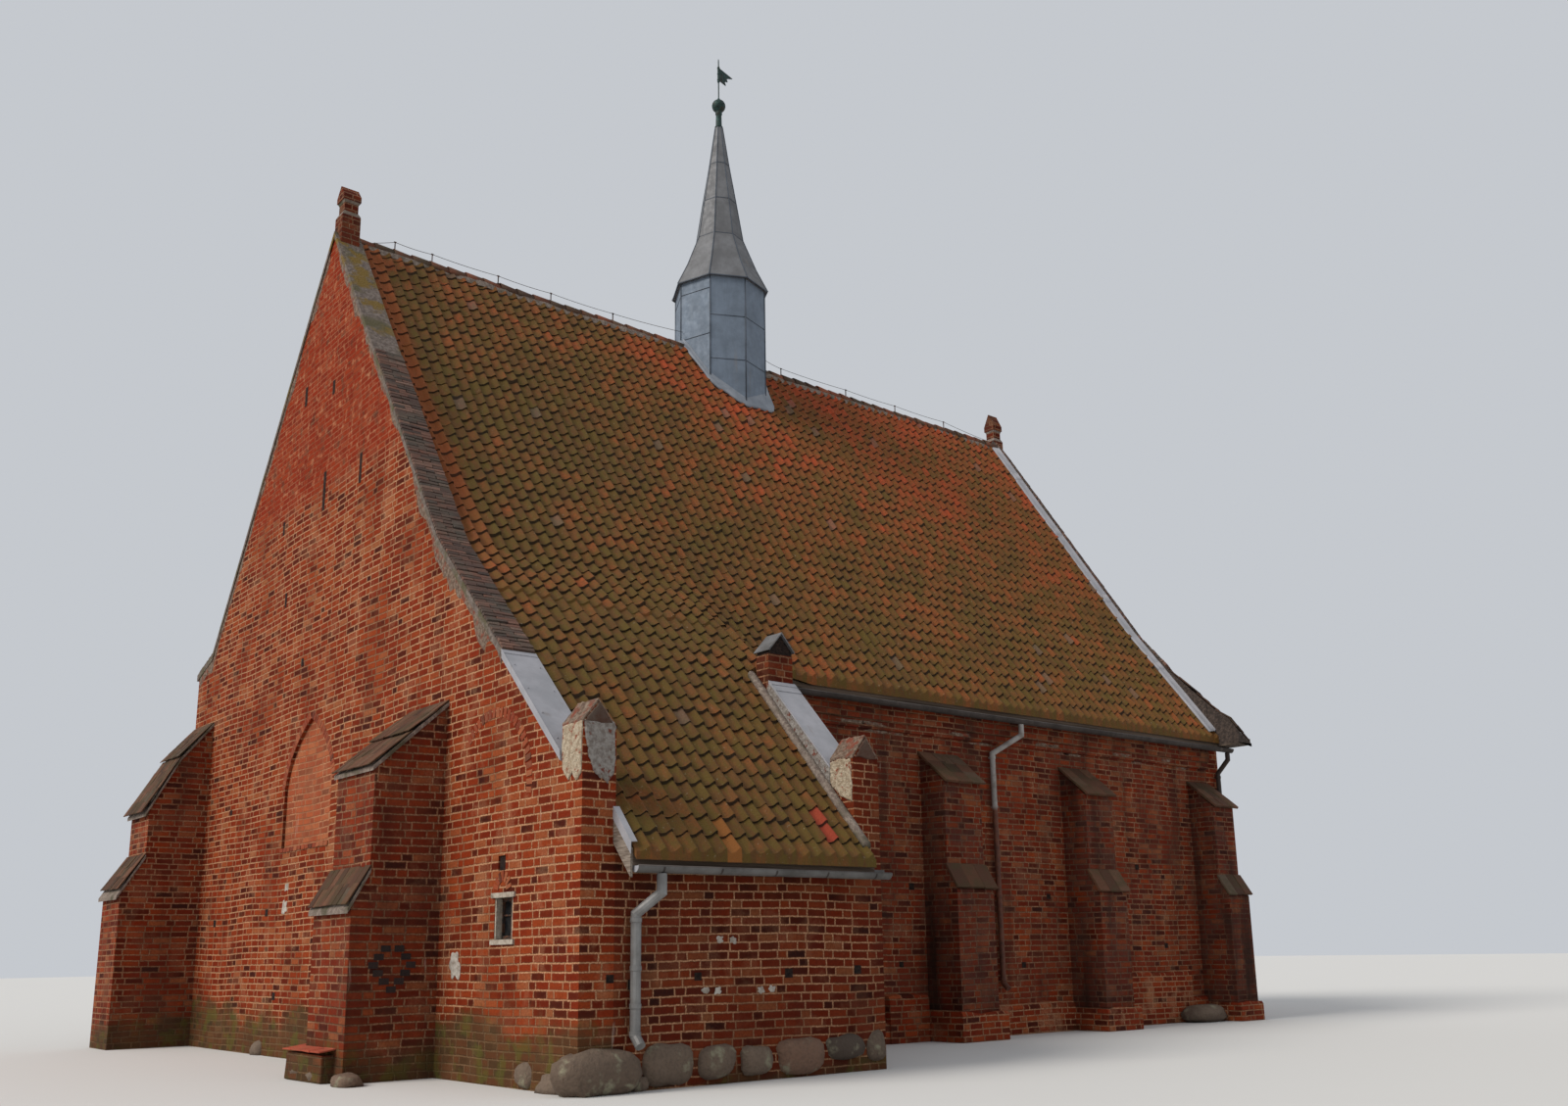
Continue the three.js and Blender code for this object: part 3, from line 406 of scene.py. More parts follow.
def piece(name, shells, material, body="building", slot="brick", edge=0.0, smooth=False):
    """Joins closed shells into one object that rides on a body. A shell is its points and one or
    more arrays of faces. A shell whose signed volume is below zero is turned inside out first."""
    points, loops, sizes, first = [], [], [], 0
    for spots, *polygons in shells:
        spots = np.asarray(spots, float).reshape(-1, 3)
        polygons = [np.asarray(p) for p in polygons]
        inside = 0.0
        middle = spots.mean(0)
        for p in polygons:
            fan = spots[p] - middle
            for k in range(1, p.shape[1] - 1):
                inside += np.einsum("nd,nd->", fan[:, 0], np.cross(fan[:, k], fan[:, k + 1]))
        for p in polygons:
            loops.append((p if inside > 0 else p[:, ::-1]).ravel() + first)
            sizes.append(np.full(len(p), p.shape[1]))
        points.append(spots)
        first += len(spots)
    points, loops, sizes = np.concatenate(points) + corner, np.concatenate(loops), np.concatenate(sizes)
    mesh = bpy.data.meshes.new(name)
    mesh.vertices.add(len(points))
    mesh.vertices.foreach_set("co", points.ravel())
    mesh.loops.add(len(loops))
    mesh.loops.foreach_set("vertex_index", loops)
    mesh.polygons.add(len(sizes))
    mesh.polygons.foreach_set("loop_start", np.concatenate([[0], np.cumsum(sizes)[:-1]]))
    mesh.polygons.foreach_set("use_smooth", np.full(len(sizes), smooth))
    mesh.update(calc_edges=True)
    mesh.validate()
    mesh.materials.append(material)
    made = bpy.data.objects.new(name, mesh)
    bpy.context.scene.collection.objects.link(made)
    if edge:
        soft = made.modifiers.new("worn edges", "BEVEL")
        soft.width, soft.segments, soft.limit_method = edge, 1, "ANGLE"
    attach(made, body)
    return made


def fired_clay(name, stops, dirt, cover=0.4, rough=0.88):
    """Single bricks or tiles: one colour of the range for each loose piece, mottled and dirty."""
    layers = [(0.04, 0.35, 0.7, dirt, 0.35), (0.35, 0.42, 0.66, dirt, cover, 6.0)]
    return coated(name, stops, layers, rough, (0.018, 0.3, 0.75), 0.004)


red_stops = [
    (0.0, (0.09, 0.018, 0.009)), (0.25, (0.20, 0.028, 0.010)), (0.7, (0.29, 0.052, 0.016)),
    (1.0, (0.34, 0.10, 0.04)),
]
loose_brick = fired_clay("loose brick", red_stops, (0.20, 0.085, 0.045))
rng = np.random.default_rng(11)
ARCH = {"y": 8.33, "half": 0.98, "sill": 3.25, "spring": 4.22, "apex": 5.28}


def arch_line(part):
    """The pointed arch from its left springing (0) over the apex (1) to the right one (2): each half
    is a quadratic curve through springing, a shoulder and the apex. Returns y, z and the slope."""
    hand = np.where(part < 1, -1.0, 1.0)
    t = np.where(part < 1, part, 2 - part)
    start = np.array([ARCH["half"], 0.0])
    knee = np.array([ARCH["half"] * 0.85, (ARCH["apex"] - ARCH["spring"]) * 0.62])
    tip = np.array([0.0, ARCH["apex"] - ARCH["spring"]])
    t = t[:, None]
    spot = (1 - t) ** 2 * start + 2 * t * (1 - t) * knee + t**2 * tip
    heading = 2 * (1 - t) * (knee - start) + 2 * t * (tip - knee)
    heading /= np.linalg.norm(heading, axis=1, keepdims=True)
    spot = np.stack([ARCH["y"] + hand * spot[:, 0], ARCH["spring"] + spot[:, 1]], 1)
    return spot, np.stack([hand * heading[:, 0], heading[:, 1]], 1)


spot, heading = arch_line(np.linspace(0.02, 1.98, 40))
out = np.stack([heading[:, 1], -heading[:, 0]], 1)
out *= np.sign(np.einsum("nd,nd->n", out, spot - np.array([ARCH["y"], ARCH["spring"] - 0.6])))[:, None]
piece("window_arch_bricks", [
    bricks_on_curve(0.052, spot + 0.068 * out, out, heading, (0.058, 0.066, 0.034), rng),
], loose_brick, edge=0.004)

filling, tree, shader, spot_on = finish("window filling")
old = wire(
    tree, "ShaderNodeGroup",
    {"Place": spot_on, "Glow": 1.12, "Soot and shade": 0.05, "Bare": 0.2, "Foot": 0.0, "Crown": 30.0}, node_tree=wall,
)
warm = tinted(0.35, old.outputs["Colour"], (0.36, 0.105, 0.034, 1))
tree.links.new(warm, shader["Base Color"])
tree.links.new(old.outputs["Roughness"], shader["Roughness"])
bump(shader, old.outputs["Height"], 0.008)
edge_line, _ = arch_line(np.linspace(0.0, 2.0, 41))
outline = np.vstack(
    [[ARCH["y"] - ARCH["half"], ARCH["sill"]], edge_line, [ARCH["y"] + ARCH["half"], ARCH["sill"]]],
)
inset = outline + (np.array([ARCH["y"], 4.2]) - outline) * 0.004
count = len(inset)
panel = np.concatenate([
    np.column_stack([np.full(count, x), inset]) for x in (0.046, 0.069)
])
ring = np.arange(count)
sides = np.stack([ring, (ring + 1) % count, (ring + 1) % count + count, ring + count], 1)
piece("window_filling", [(panel, sides, ring[None], ring[None, ::-1] + count)], filling)
sill_y = np.arange(ARCH["y"] - 0.92, ARCH["y"] + 0.95, 0.155)
centre = spots_at(0.03, sill_y, ARCH["sill"] - 0.035)
piece("window_sill_bricks", [laid_bricks(centre, (0.05, 0.070, 0.032), rng, 0.003)], loose_brick, edge=0.004)

# Footing stones: the sacristy's north wall stands on a row of split field stones, set in mortar.
# They bulge from the brickwork, grey and brown, and are of every size.
def field_stones(centre, half, rng, rows=7, round_=12):
    """Boulders: point = centre + half size * (latitude circle made boxier by a power below one)
    * (1 + smooth chance). Rings run from pole to pole, and each pole is one point."""
    shells = []
    lat = np.linspace(-np.pi / 2, np.pi / 2, rows + 2)[1:-1]
    lon = full_turn(round_)
    for spot, size in zip(np.atleast_2d(centre), np.atleast_2d(half)):
        around = np.cos(lat)[:, None]
        ball = spots_at(around * np.cos(lon), around * np.sin(lon), np.sin(lat)[:, None])
        ball = np.vstack([ball.reshape(-1, 3), [[0, 0, -1], [0, 0, 1]]])
        ball = np.sign(ball) * np.abs(ball) ** 0.72
        waves, phases = rng.normal(0, 2.2, (5, 3)), rng.uniform(0, 6.28, 5)
        ball *= 1 + 0.055 * np.sin(ball @ waves.T + phases).sum(1, keepdims=True)
        ring = np.arange(rows * round_).reshape(rows, round_)
        after = np.roll(ring, -1, 1)
        quads = np.stack([ring[:-1], after[:-1], after[1:], ring[1:]], -1).reshape(-1, 4)
        pole = np.full(round_, rows * round_)
        ends = np.vstack([
            np.stack([after[0], ring[0], pole], 1), np.stack([ring[-1], after[-1], pole + 1], 1)
        ])
        boulder = spot + ball * size
        boulder[:, 2] = np.maximum(boulder[:, 2], 0.0)
        shells.append((boulder, quads, ends))
    return shells


field_stone = coated("field stone", [
    (0.0, (0.075, 0.056, 0.044)), (0.35, (0.135, 0.096, 0.070)), (0.7, (0.165, 0.120, 0.088)),
    (1.0, (0.20, 0.105, 0.068)),
], [
    (0.04, 0.4, 0.7, (0.070, 0.052, 0.040), 0.4), (0.22, 0.55, 0.7, (0.24, 0.22, 0.15)),
], 0.9, (0.10, 0.2, 0.8, 8.0), 0.016)
rng = np.random.default_rng(3)
north_foot = [
    ((0.26, 0.05, 0.20), (0.50, 0.27, 0.27)), ((1.20, 0.06, 0.25), (0.37, 0.18, 0.25)),
    ((1.86, 0.06, 0.25), (0.29, 0.17, 0.19)), ((2.46, 0.06, 0.23), (0.25, 0.16, 0.18)),
    ((3.13, 0.05, 0.25), (0.40, 0.18, 0.21)), ((3.86, 0.06, 0.30), (0.33, 0.17, 0.17)),
    ((4.41, 0.07, 0.29), (0.17, 0.15, 0.19)), ((0.79, 0.05, 0.08), (0.12, 0.12, 0.09)),
]
gable_foot = [
    ((0.10, y, 0.10 + 0.05 * math.sin(7 * y)), (0.20, 0.24 + 0.06 * math.sin(3 * y), 0.15))
    for y in (0.55, 1.15, 9.8)
]
buttress_foot = [
    ((-1.06, 4.62, 0.10), (0.30, 0.26, 0.13)), ((-1.10, 4.05, 0.09), (0.26, 0.30, 0.12)),
    ((-0.72, 4.74, 0.12), (0.26, 0.20, 0.14)), ((16.35, 3.10, 0.17), (0.52, 0.28, 0.17)),
    ((-1.22, 3.25, 0.05), (0.17, 0.24, 0.09)),
]
stones = np.array(north_foot + gable_foot + buttress_foot)
piece("footing_stones", field_stones(stones[:, 0], stones[:, 1], rng), field_stone, slot="stone", smooth=True)

# Tile shelf: at the foot of the near buttress a low stub of masonry carries a little lean-to of
# red roof tiles, to throw water off.
def tiled_slope(top, top_end, foot, rng, tile=(0.165, 0.22), lift=0.014, thick=0.009, loose=0.005):
    """Flat tiles on a parallelogram with corners top, top_end and foot. Each tile's middle =
    top + across * column + down * course, and its lower end is tipped up over the course below."""
    top, top_end, foot = (np.array(p, float) for p in (top, top_end, foot))
    width, length = np.linalg.norm(top_end - top), np.linalg.norm(foot - top)
    across_hill, down_hill = (top_end - top) / width, (foot - top) / length
    out_of = np.cross(across_hill, down_hill)
    out_of *= np.sign(out_of[2])
    down_hill = down_hill + 0.05 * out_of
    columns, courses = max(2, round(width / tile[0])), max(1, round(length / tile[1]))
    step, gauge = width / columns, length / courses
    row, column = (g.ravel() for g in np.meshgrid(np.arange(courses), np.arange(columns), indexing="ij"))
    count = len(row)
    shift = (column + 0.5) * step + rng.normal(0, loose, count)
    fall = (row + 0.5) * gauge + rng.normal(0, loose, count)
    middle = top + shift[:, None] * across_hill + fall[:, None] * down_hill
    middle = middle + (lift + rng.normal(0, loose * 0.4, count))[:, None] * out_of
    axes = np.stack([across_hill, down_hill, out_of])
    return laid_bricks(middle, (step * 0.49, gauge * 0.60, thick), rng, loose * 0.5, axes)


fresh_tile = fired_clay(
    "fresh tile", [(0.0, (0.34, 0.05, 0.026)), (1.0, (0.44, 0.085, 0.04))], (0.20, 0.10, 0.06), 0.25,
)
rng = np.random.default_rng(5)
piece("tile_shelf", [
    tiled_slope((-0.62, 3.68, 0.46), (-0.62, 4.90, 0.46), (-1.38, 3.68, 0.33), rng, (0.30, 0.19), 0.012),
], fresh_tile, edge=0.003)
piece("shelf_masonry", [
    laid_bricks([(-0.95, 4.29, 0.17)], (0.42, 0.56, 0.17), rng, 0.012),
], buttress_brick, edge=0.01)

# Slit window: a small square light with a stone sill and lintel in the sacristy's gable face, under a
# vent hole with a little arch of bricks. Pale stone lines it before an iron-framed pane.
pale_stone = coated("pale stone", (0.30, 0.25, 0.20), [
    (0.08, 0.35, 0.7, (0.46, 0.41, 0.34)), (0.3, 0.5, 0.7, (0.16, 0.13, 0.10)),
], 0.85, (0.03, 0.3, 0.7), 0.006)
dress(pale_stone, "slit_sill", "slit_lintel")
rng = np.random.default_rng(8)
angle = np.linspace(-1.35, 1.35, 7)
outward, along = (
    np.stack(way, 1)
    for way in ((np.sin(angle), np.cos(angle)), (np.cos(angle), -np.sin(angle)))
)
piece("vent_arch_bricks", [
    bricks_on_curve(0.04, (1.780, 2.270) + 0.160 * outward, outward, along, (0.050, 0.062, 0.026), rng),
], loose_brick, edge=0.003)
old_iron = coated("old iron", (0.035, 0.030, 0.028), [
    (0.05, 0.4, 0.65, (0.13, 0.055, 0.03)),
], 0.7, (0.01, 0.3, 0.7), 0.002, metallic=0.4)
y0, y1, z0, z1 = 1.525, 1.965, 1.685, 2.170
mid_y, mid_z = (y0 + y1) / 2, (z0 + z1) / 2
bars = np.array([
    *(((0.12, y, mid_z), (0.03, 0.02, 0.242)) for y in (y0 + 0.02, y1 - 0.02)),
    *(((0.12, mid_y, z), (0.03, 0.199, 0.02)) for z in (z0 + 0.02, z1 - 0.02)),
    ((0.12, mid_y, mid_z), (0.012, 0.012, 0.222)), ((0.12, mid_y, mid_z + 0.04), (0.010, 0.199, 0.010)),
])
piece("window_bars", [laid_bricks(bars[:, 0], bars[:, 1], rng, 0.0)], old_iron, slot="dark_zinc")
lining = np.array([(0.048, y0 + 0.010, mid_z), (0.048, y1 - 0.010, mid_z)])
piece("window_lining", [laid_bricks(lining, (0.040, 0.0135, 0.2415), rng, 0.001)], pale_stone, slot="stone")
dark_glass = coated("old dark glass", (0.008, 0.009, 0.011), [
    (0.15, 0.35, 0.7, (0.022, 0.022, 0.022)),
], 0.18, (0.2, 0.2, 0.8, 1.0), 0.003, gloss=0.05)
piece(
    "window_glass", [laid_bricks([(0.130, mid_y, mid_z)], (0.003, 0.215, 0.236), rng, 0.0)], dark_glass,
    slot="dark_zinc",
)

# Small traces in the brickwork: square holes left by the scaffold, narrow slots high in the gable,
# a diamond of dark burnt headers on the near buttress, a ring of bricks that was once an arch beside
# it, and patches of render.
# The holes, slots and vent are boxes of near-black set at the wall's face or a little behind it, not real
# hollows: their black is painted shade for the depth of each hole, with a little grime.
soot_and_shade = coated("dark hollow", (0.006, 0.004, 0.004), [
    (0.05, 0.3, 0.7, (0.030, 0.017, 0.012)),
], 1.0, (0.03, 0.3, 0.7), 0.004)
rng = np.random.default_rng(21)
HOLE_DEPTH = 0.0335
holes = [
    *(
        (y, z, 0.060, 0.055)
        for y, z in ((12.37, 2.13), (9.79, 2.24), (9.23, 0.92), (11.92, 4.06), (6.98, 3.41))
    ),
    *((y, z, 0.046, high) for y, z, high in (
        (8.40, 9.15, 0.30), (6.90, 9.13, 0.26), (10.21, 8.94, 0.14), (9.53, 11.22, 0.16),
        (8.25, 10.97, 0.12), (9.87, 7.56, 0.14), (8.9, 6.3, 0.06))),
]
deep = [((0.03, y, z), (0, wide, tall)) for y, z, wide, tall in holes]
side_holes = [(0.70, 1.15), (1.61, 1.22), (2.99, 1.23), (4.14, 1.25), (0.40, 1.22)]
wall_holes = [
    (8.30, 1.25), (8.60, 2.53), (12.16, 2.41), (11.37, 1.19), (14.92, 3.02), (15.70, 1.49), (6.4, 1.2),
    (6.5, 3.0),
]
for out_y, shift, places in ((0.03, 0.0, side_holes), (3.48, 0.0, wall_holes), (14.38, 0.4, wall_holes)):
    deep += [((x + shift, out_y, z), (0.055, 0, 0.050)) for x, z in places]
deep = np.array(deep)
deep[:, 1] *= rng.uniform(0.85, 1.15, (len(deep), 1))
deep[:, 1] += HOLE_DEPTH * (deep[:, 1] == 0)
deep = np.vstack([deep, [((0.07, 1.82, 2.59), (0.048, 0.0895, 0.0895))]])
piece("scaffold_holes", [laid_bricks(deep[:, 0], deep[:, 1], rng, 0.0)], soot_and_shade)

burnt = fired_clay(
    "burnt header", [(0.0, (0.012, 0.009, 0.010)), (1.0, (0.030, 0.019, 0.018))], (0.04, 0.028, 0.022),
    0.3, 0.6,
)
diamond = [
    (-0.62 + side * out, 3.451, 1.10 + COURSE * row)
    for row, out in enumerate((0.0, 0.10, 0.18, 0.25, 0.18, 0.09)) for side in ((-1, 1) if out else (-1,))
]
piece("burnt_headers", [laid_bricks(np.array(diamond), (0.064, 0.008, 0.039), rng, 0.002)], burnt)
swing = np.linspace(-0.15, 2.35, 24)
outward = np.stack([-np.cos(swing), np.sin(swing)], 1)
middle = np.array([2.12, 3.56]) + 0.92 * outward
along = np.stack([-outward[:, 1], outward[:, 0]], 1)
piece("old_arch_trace", [
    bricks_on_curve(0.004, middle, outward, along, (0.012, 0.066, 0.036), rng, 0.004),
], loose_brick, edge=0.004)


def ringed(spots, loop=False):
    """A closed shell from an n by m grid of points. Each row is a ring. The rings are joined in turn,
    and the two ends are closed flat or, in a loop, joined to each other."""
    steps, count = spots.shape[:2]
    grid = np.arange(steps * count).reshape(steps, count)
    after = np.roll(grid, -1, 1)
    near, far = (grid, np.roll(grid, -1, 0)) if loop else (grid[:-1], grid[1:])
    near_on, far_on = (after, np.roll(after, -1, 0)) if loop else (after[:-1], after[1:])
    quads = np.stack([near, near_on, far_on, far], -1).reshape(-1, 4)
    if loop:
        return spots.reshape(-1, 3), quads
    return spots.reshape(-1, 3), quads, grid[:1, ::-1], grid[-1:]


def slab(line, middle, wall_axis, face, thick, shrunk):
    """A thin coat on a wall inside a line of points. Its outer side is smaller around the middle."""
    layers = []
    for depth, shrink in ((-0.01, 1.0), (0.6 * thick, 1.0), (thick, shrunk)):
        layers.append(np.insert(middle + (line - middle) * shrink, wall_axis, face - depth, axis=1))
    return ringed(np.stack(layers))


def patch(middle, size, wall_axis, rng, thick=0.012):
    """An irregular slab on a wall: outline radius = size * (1 + a sum of waves of chance phase)."""
    turn = full_turn(28)
    waves = sum(rng.uniform(0.03, 0.13) * np.sin(k * turn + rng.uniform(0, 6.3)) for k in range(2, 7))
    boxy = 1 / np.maximum(np.abs(np.cos(turn)), np.abs(np.sin(turn))) ** 0.6
    flat = np.stack([np.cos(turn), np.sin(turn)], 1) * size * (boxy * (1 + waves))[:, None]
    centre = np.array([middle[1 - wall_axis], middle[2]])
    return slab(centre + flat, centre, wall_axis, middle[wall_axis], thick, 0.88)


render_coat = coated("lime render", (0.48, 0.44, 0.39), [
    (0.12, 0.35, 0.7, (0.27, 0.225, 0.185)),
], 0.92, (0.05, 0.25, 0.75, 7.0), 0.012)
rng = np.random.default_rng(31)
piece("render_patches", [
    patch((0.0, 2.96, 1.38), (0.13, 0.16), 0, rng),
    patch((-1.36, 13.85, 1.75), (0.20, 0.52), 0, rng),
    *(patch((x, 0.0, z), (0.048, 0.038), 1, rng, 0.006) for x, z in (
        (2.13, 1.63), (1.93, 1.64), (2.72, 1.05), (2.55, 1.04), (1.90, 1.05), (1.72, 1.06))),
    patch((0.0, 9.0, 2.30), (0.10, 0.10), 0, rng, 0.006),
    patch((0.0, 8.95, 2.62), (0.07, 0.06), 0, rng, 0.006),
], render_coat, slot="stone")

# Sloping tops of the buttresses: flat tiles bedded in mortar, one course over the other, with the
# lowest course standing a little over the masonry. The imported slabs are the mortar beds.
bed = coated("grey bedding mortar", (0.16, 0.12, 0.10), [
    (0.05, 0.35, 0.7, (0.30, 0.245, 0.20)), (0.4, 0.5, 0.7, (0.085, 0.075, 0.045)),
], 0.95, (0.03, 0.25, 0.75, 6.0), 0.010)
cap_tile = fired_clay("old flat tile", [
    (0.0, (0.050, 0.022, 0.014)), (0.5, (0.105, 0.042, 0.024)), (0.85, (0.15, 0.064, 0.036)),
    (1.0, (0.090, 0.064, 0.044)),
], (0.055, 0.042, 0.018), 0.65)
rng = np.random.default_rng(41)
shells = []
for line, y0, y1 in (
    ([(0.0, 4.82), (0.5, 4.36), (1.005, 3.89)], 3.42, 4.68),
    ([(0.975, 2.60), (1.215, 2.15)], 3.42, 4.68),
    ([(0.0, 5.87), (0.536, 5.18), (1.07, 4.13)], 13.27, 14.44),
    ([(1.015, 3.37), (1.38, 2.76)], 13.27, 14.44),
):
    for (out0, z0), (out1, z1) in zip(line[:-1], line[1:]):
        shells.append(tiled_slope((-out0, y0, z0), (-out0, y1, z0), (-out1, y0, z1), rng))
piece("gable_buttress_tiles", shells, cap_tile, slot="dark_tile", edge=0.003)
NORTH_FACE, SOUTH_FACE = 3.45, 14.41
shells = []
for x0, x1 in ((8.91, 9.81), (12.70, 13.50), (16.88, 17.60)):
    for face, hand in ((NORTH_FACE, -1), (SOUTH_FACE, 1)):
        for top, foot in (((0.0, 4.80), (0.60, 4.24)), ((0.56, 2.83), (0.76, 2.48))):
            y_top, y_foot = face + hand * top[0], face + hand * foot[0]
            corner_top = (x0 - 0.05, y_top, top[1] + 0.02)
            shells.append(tiled_slope(
                corner_top, (x1 + 0.05, y_top, top[1] + 0.02), (x0 - 0.05, y_foot, foot[1] + 0.02),
                rng, (0.30, 0.30), 0.012, 0.022,
            ))
piece("side_buttress_slabs", shells, cap_tile, slot="dark_tile", edge=0.004)
dress(bed, *(f"east_buttress_{hand}_{end}_cap" for hand in ("north", "south") for end in ("upper", "lower")))

# Roof covering: hand-made pantiles hung in courses on battens. Each is a shallow S across, its
# lower edge lies over the course below, and no two sit quite alike. Moss and lichen have taken the
# lower slope beside the near gable, and the tiles near the turret are still bright red.
TILE_WIDE, GAUGE, ROLL, LIP = 0.2144, 0.31, 0.052, 0.030
TILES_NEAR, TILES_FAR = 0.46, 17.60
RIDGE_Y, RIDGE_Z = 8.93, 14.150
nave_rise = np.array([(3.00, 5.618), (5.0, 8.25), (RIDGE_Y, RIDGE_Z)])
tail_rise = np.array([
    (-0.46, 2.508), (1.94, 5.20), (3.10, 6.33), (3.95, 7.15), (5.0, 8.45), (6.2, 10.0515), (RIDGE_Y, RIDGE_Z),
])


def tail_plane(x, y):
    """Height of the tiles on the long tail: straight stretches between its kinks."""
    return np.interp(y, *tail_rise.T) + 0 * x


def nave_plane(x, y):
    """Height of the nave's tiles away from the tail: one kink above the eave."""
    return np.interp(y, *nave_rise.T) + 0 * x


def tile_plane(x, y):
    """The tail's height eased into the nave's along the ridge. Where they part above the sacristy,
    the lowest courses are bedded up to meet the tail."""
    part = np.clip((x - 3.4) / 2.8, 0, 1)
    part = part * part * (3 - 2 * part)
    bedded = 0.58 * part * np.clip((4.1 - y) / 1.0, 0, 1) * np.clip((4.7 - x) / 0.57, 0, 1)
    return tail_plane(x, y) + (nave_plane(x, y) - tail_plane(x, y)) * part + bedded


def along_slope(y, z, gauge, middles=False):
    """Level places of courses spaced evenly by length along a slope: their edges or their middles."""
    length = np.concatenate([[0], np.cumsum(np.hypot(np.diff(y), np.diff(z)))])
    count = max(1, round(length[-1] / gauge))
    steps = np.linspace(0, length[-1], count + 1)
    if middles:
        steps = (np.arange(count) + 0.5) * length[-1] / count
    return np.interp(steps, length, y)


def pantiles(x_from, x_to, lines, surface, rng, flip=False, lift=0.006, first_x=0.45):
    """A field of pantiles. Height over the roof = ROLL * a flat pan that rises to a roll and drops +
    LIP * (1 - place up the course) + a little chance for each tile. Its edges are closed by a skirt
    and its back by long strips. The tile number and place go into a UV map. flip mirrors it over."""
    columns = np.arange(
        math.floor((x_from - first_x) / TILE_WIDE + 1e-6), math.ceil((x_to - first_x) / TILE_WIDE - 1e-6),
    )
    phase = np.array([0.0, 0.28, 0.52, 0.72, 0.88, 0.975])
    ends = (np.array([x_from, x_to]) - first_x) / TILE_WIDE
    u = (columns[:, None] + phase).ravel()
    u = np.concatenate([ends[:1], u[(u > ends[0] + 0.005) & (u < ends[1] - 0.005)], ends[1:]])
    x = first_x + u * TILE_WIDE
    wave = u - np.floor(u + 1e-6)
    column = np.floor(u + 1e-6).astype(int) - columns[0]
    profile = ROLL * np.interp(wave, [*phase, 1.0], [0.0, 0.02, 0.22, 0.66, 1.0, 0.94, 0.0])
    rows = len(lines) - 1
    place_up = np.array([0.0, 0.5, 1.0])
    y = lines[:-1, None] + np.diff(lines)[:, None] * place_up
    y[:, 0] -= 0.016
    y[0, 0] = lines[0]
    y = y.ravel()
    course = np.repeat(np.arange(rows), 3)
    part = np.tile(place_up, rows)
    tip = rng.normal(0, 0.006, (rows, column.max() + 2))
    roll_over = rng.normal(0, 0.006, (rows, column.max() + 2))
    slide = rng.normal(0, 0.007, (rows, column.max() + 2))
    sag = 0.012 * np.sin(x[None] * 0.9 + 1.3) * np.sin(y[:, None] * 0.8)
    tile_tip = tip[course][:, column] * (1 - part[:, None])
    tile_tip += roll_over[course][:, column] * (wave[None] - 0.5)
    raised = profile[None] + LIP * (1 - part[:, None]) + tile_tip + sag + lift + 0.016
    yy = y[:, None] + slide[course][:, column] * (1 - part[:, None]) * (part[:, None] < 0.1)
    yy[0] = y[0]
    xx = np.broadcast_to(x, yy.shape)
    base = surface(xx, np.clip(yy, lines[0], lines[-1]))
    steep = np.gradient(
        surface(np.full(3, x.mean()), np.array([y.mean() - 0.1, y.mean(), y.mean() + 0.1])), 0.1,
    )[1]
    tall = math.hypot(1.0, steep)
    zz = base + raised * (tall * 0.55 + 0.45)
    top = spots_at(xx, yy, zz)
    under = spots_at(xx, yy, base - 0.04)
    height_rows, wide_count = yy.shape
    edge = np.concatenate([
        np.arange(wide_count), np.arange(1, height_rows) * wide_count + wide_count - 1,
        (height_rows - 1) * wide_count + np.arange(wide_count - 1)[::-1],
        np.arange(1, height_rows - 1)[::-1] * wide_count,
    ])
    total = height_rows * wide_count
    grid = np.arange(total).reshape(height_rows, wide_count)
    quads = np.stack([grid[:-1, :-1], grid[:-1, 1:], grid[1:, 1:], grid[1:, :-1]], -1).reshape(-1, 4)
    rim = total + np.arange(len(edge))
    skirt = np.stack([np.roll(edge, -1), edge, rim, np.roll(rim, -1)], 1)
    at = np.full(total, -1)
    at[edge] = rim
    strips = np.stack([at[grid[1:-2, 0]], at[grid[2:-1, 0]], at[grid[2:-1, -1]], at[grid[1:-2, -1]]], 1)
    first = np.concatenate([at[grid[0]], [at[grid[1, -1]], at[grid[1, 0]]]])[::-1]
    last = np.concatenate([at[grid[-1]][::-1], [at[grid[-2, 0]], at[grid[-2, -1]]]])[::-1]
    spots = np.vstack([top.reshape(-1, 3), under.reshape(-1, 3)[edge]])
    tile_u = np.broadcast_to(u + 1e-4, yy.shape)
    tile_v = np.broadcast_to((course + np.minimum(part, 0.999))[:, None], yy.shape)
    marks = np.stack([tile_u.ravel(), tile_v.ravel()], 1)
    # The skirt's lower rim is marked at the top of its course, so the roof material's painted shade band
    # darkens the skirt towards its foot.
    below = marks[edge]
    below[:, 1] = np.floor(below[:, 1]) + 0.99
    marks = np.vstack([marks, below])
    if flip:
        spots[:, 1] = 2 * RIDGE_Y - spots[:, 1]
    return (spots, quads, skirt, strips, first[None], last[None]), marks


def mark_tiles(made, marks):
    """The tile numbers as a UV map: column and place across, course and place up."""
    flat = np.concatenate(marks)
    mesh = made.data
    layer = mesh.uv_layers.new(name="tiles")
    loops = np.empty(len(mesh.loops), int)
    mesh.loops.foreach_get("vertex_index", loops)
    layer.data.foreach_set("uv", flat[loops].ravel())


pantile, tree, shader, spot_on = finish("weathered pantile")
tile_map = numbers(wire(tree, "ShaderNodeUVMap", uv_map="tiles").outputs[0])
column, course = whole(tile_map[0]), whole(tile_map[1])
tile_key = wire(tree, "ShaderNodeCombineXYZ", {0: column, 1: course, 2: 0.5}).outputs[0]
luck = wire(tree, "ShaderNodeTexWhiteNoise", {"Vector": tile_key}).outputs[1]
luck = wire(tree, "ShaderNodeSeparateColor", {0: luck}).outputs
spot_x, _, spot_z = numbers(spot_on)
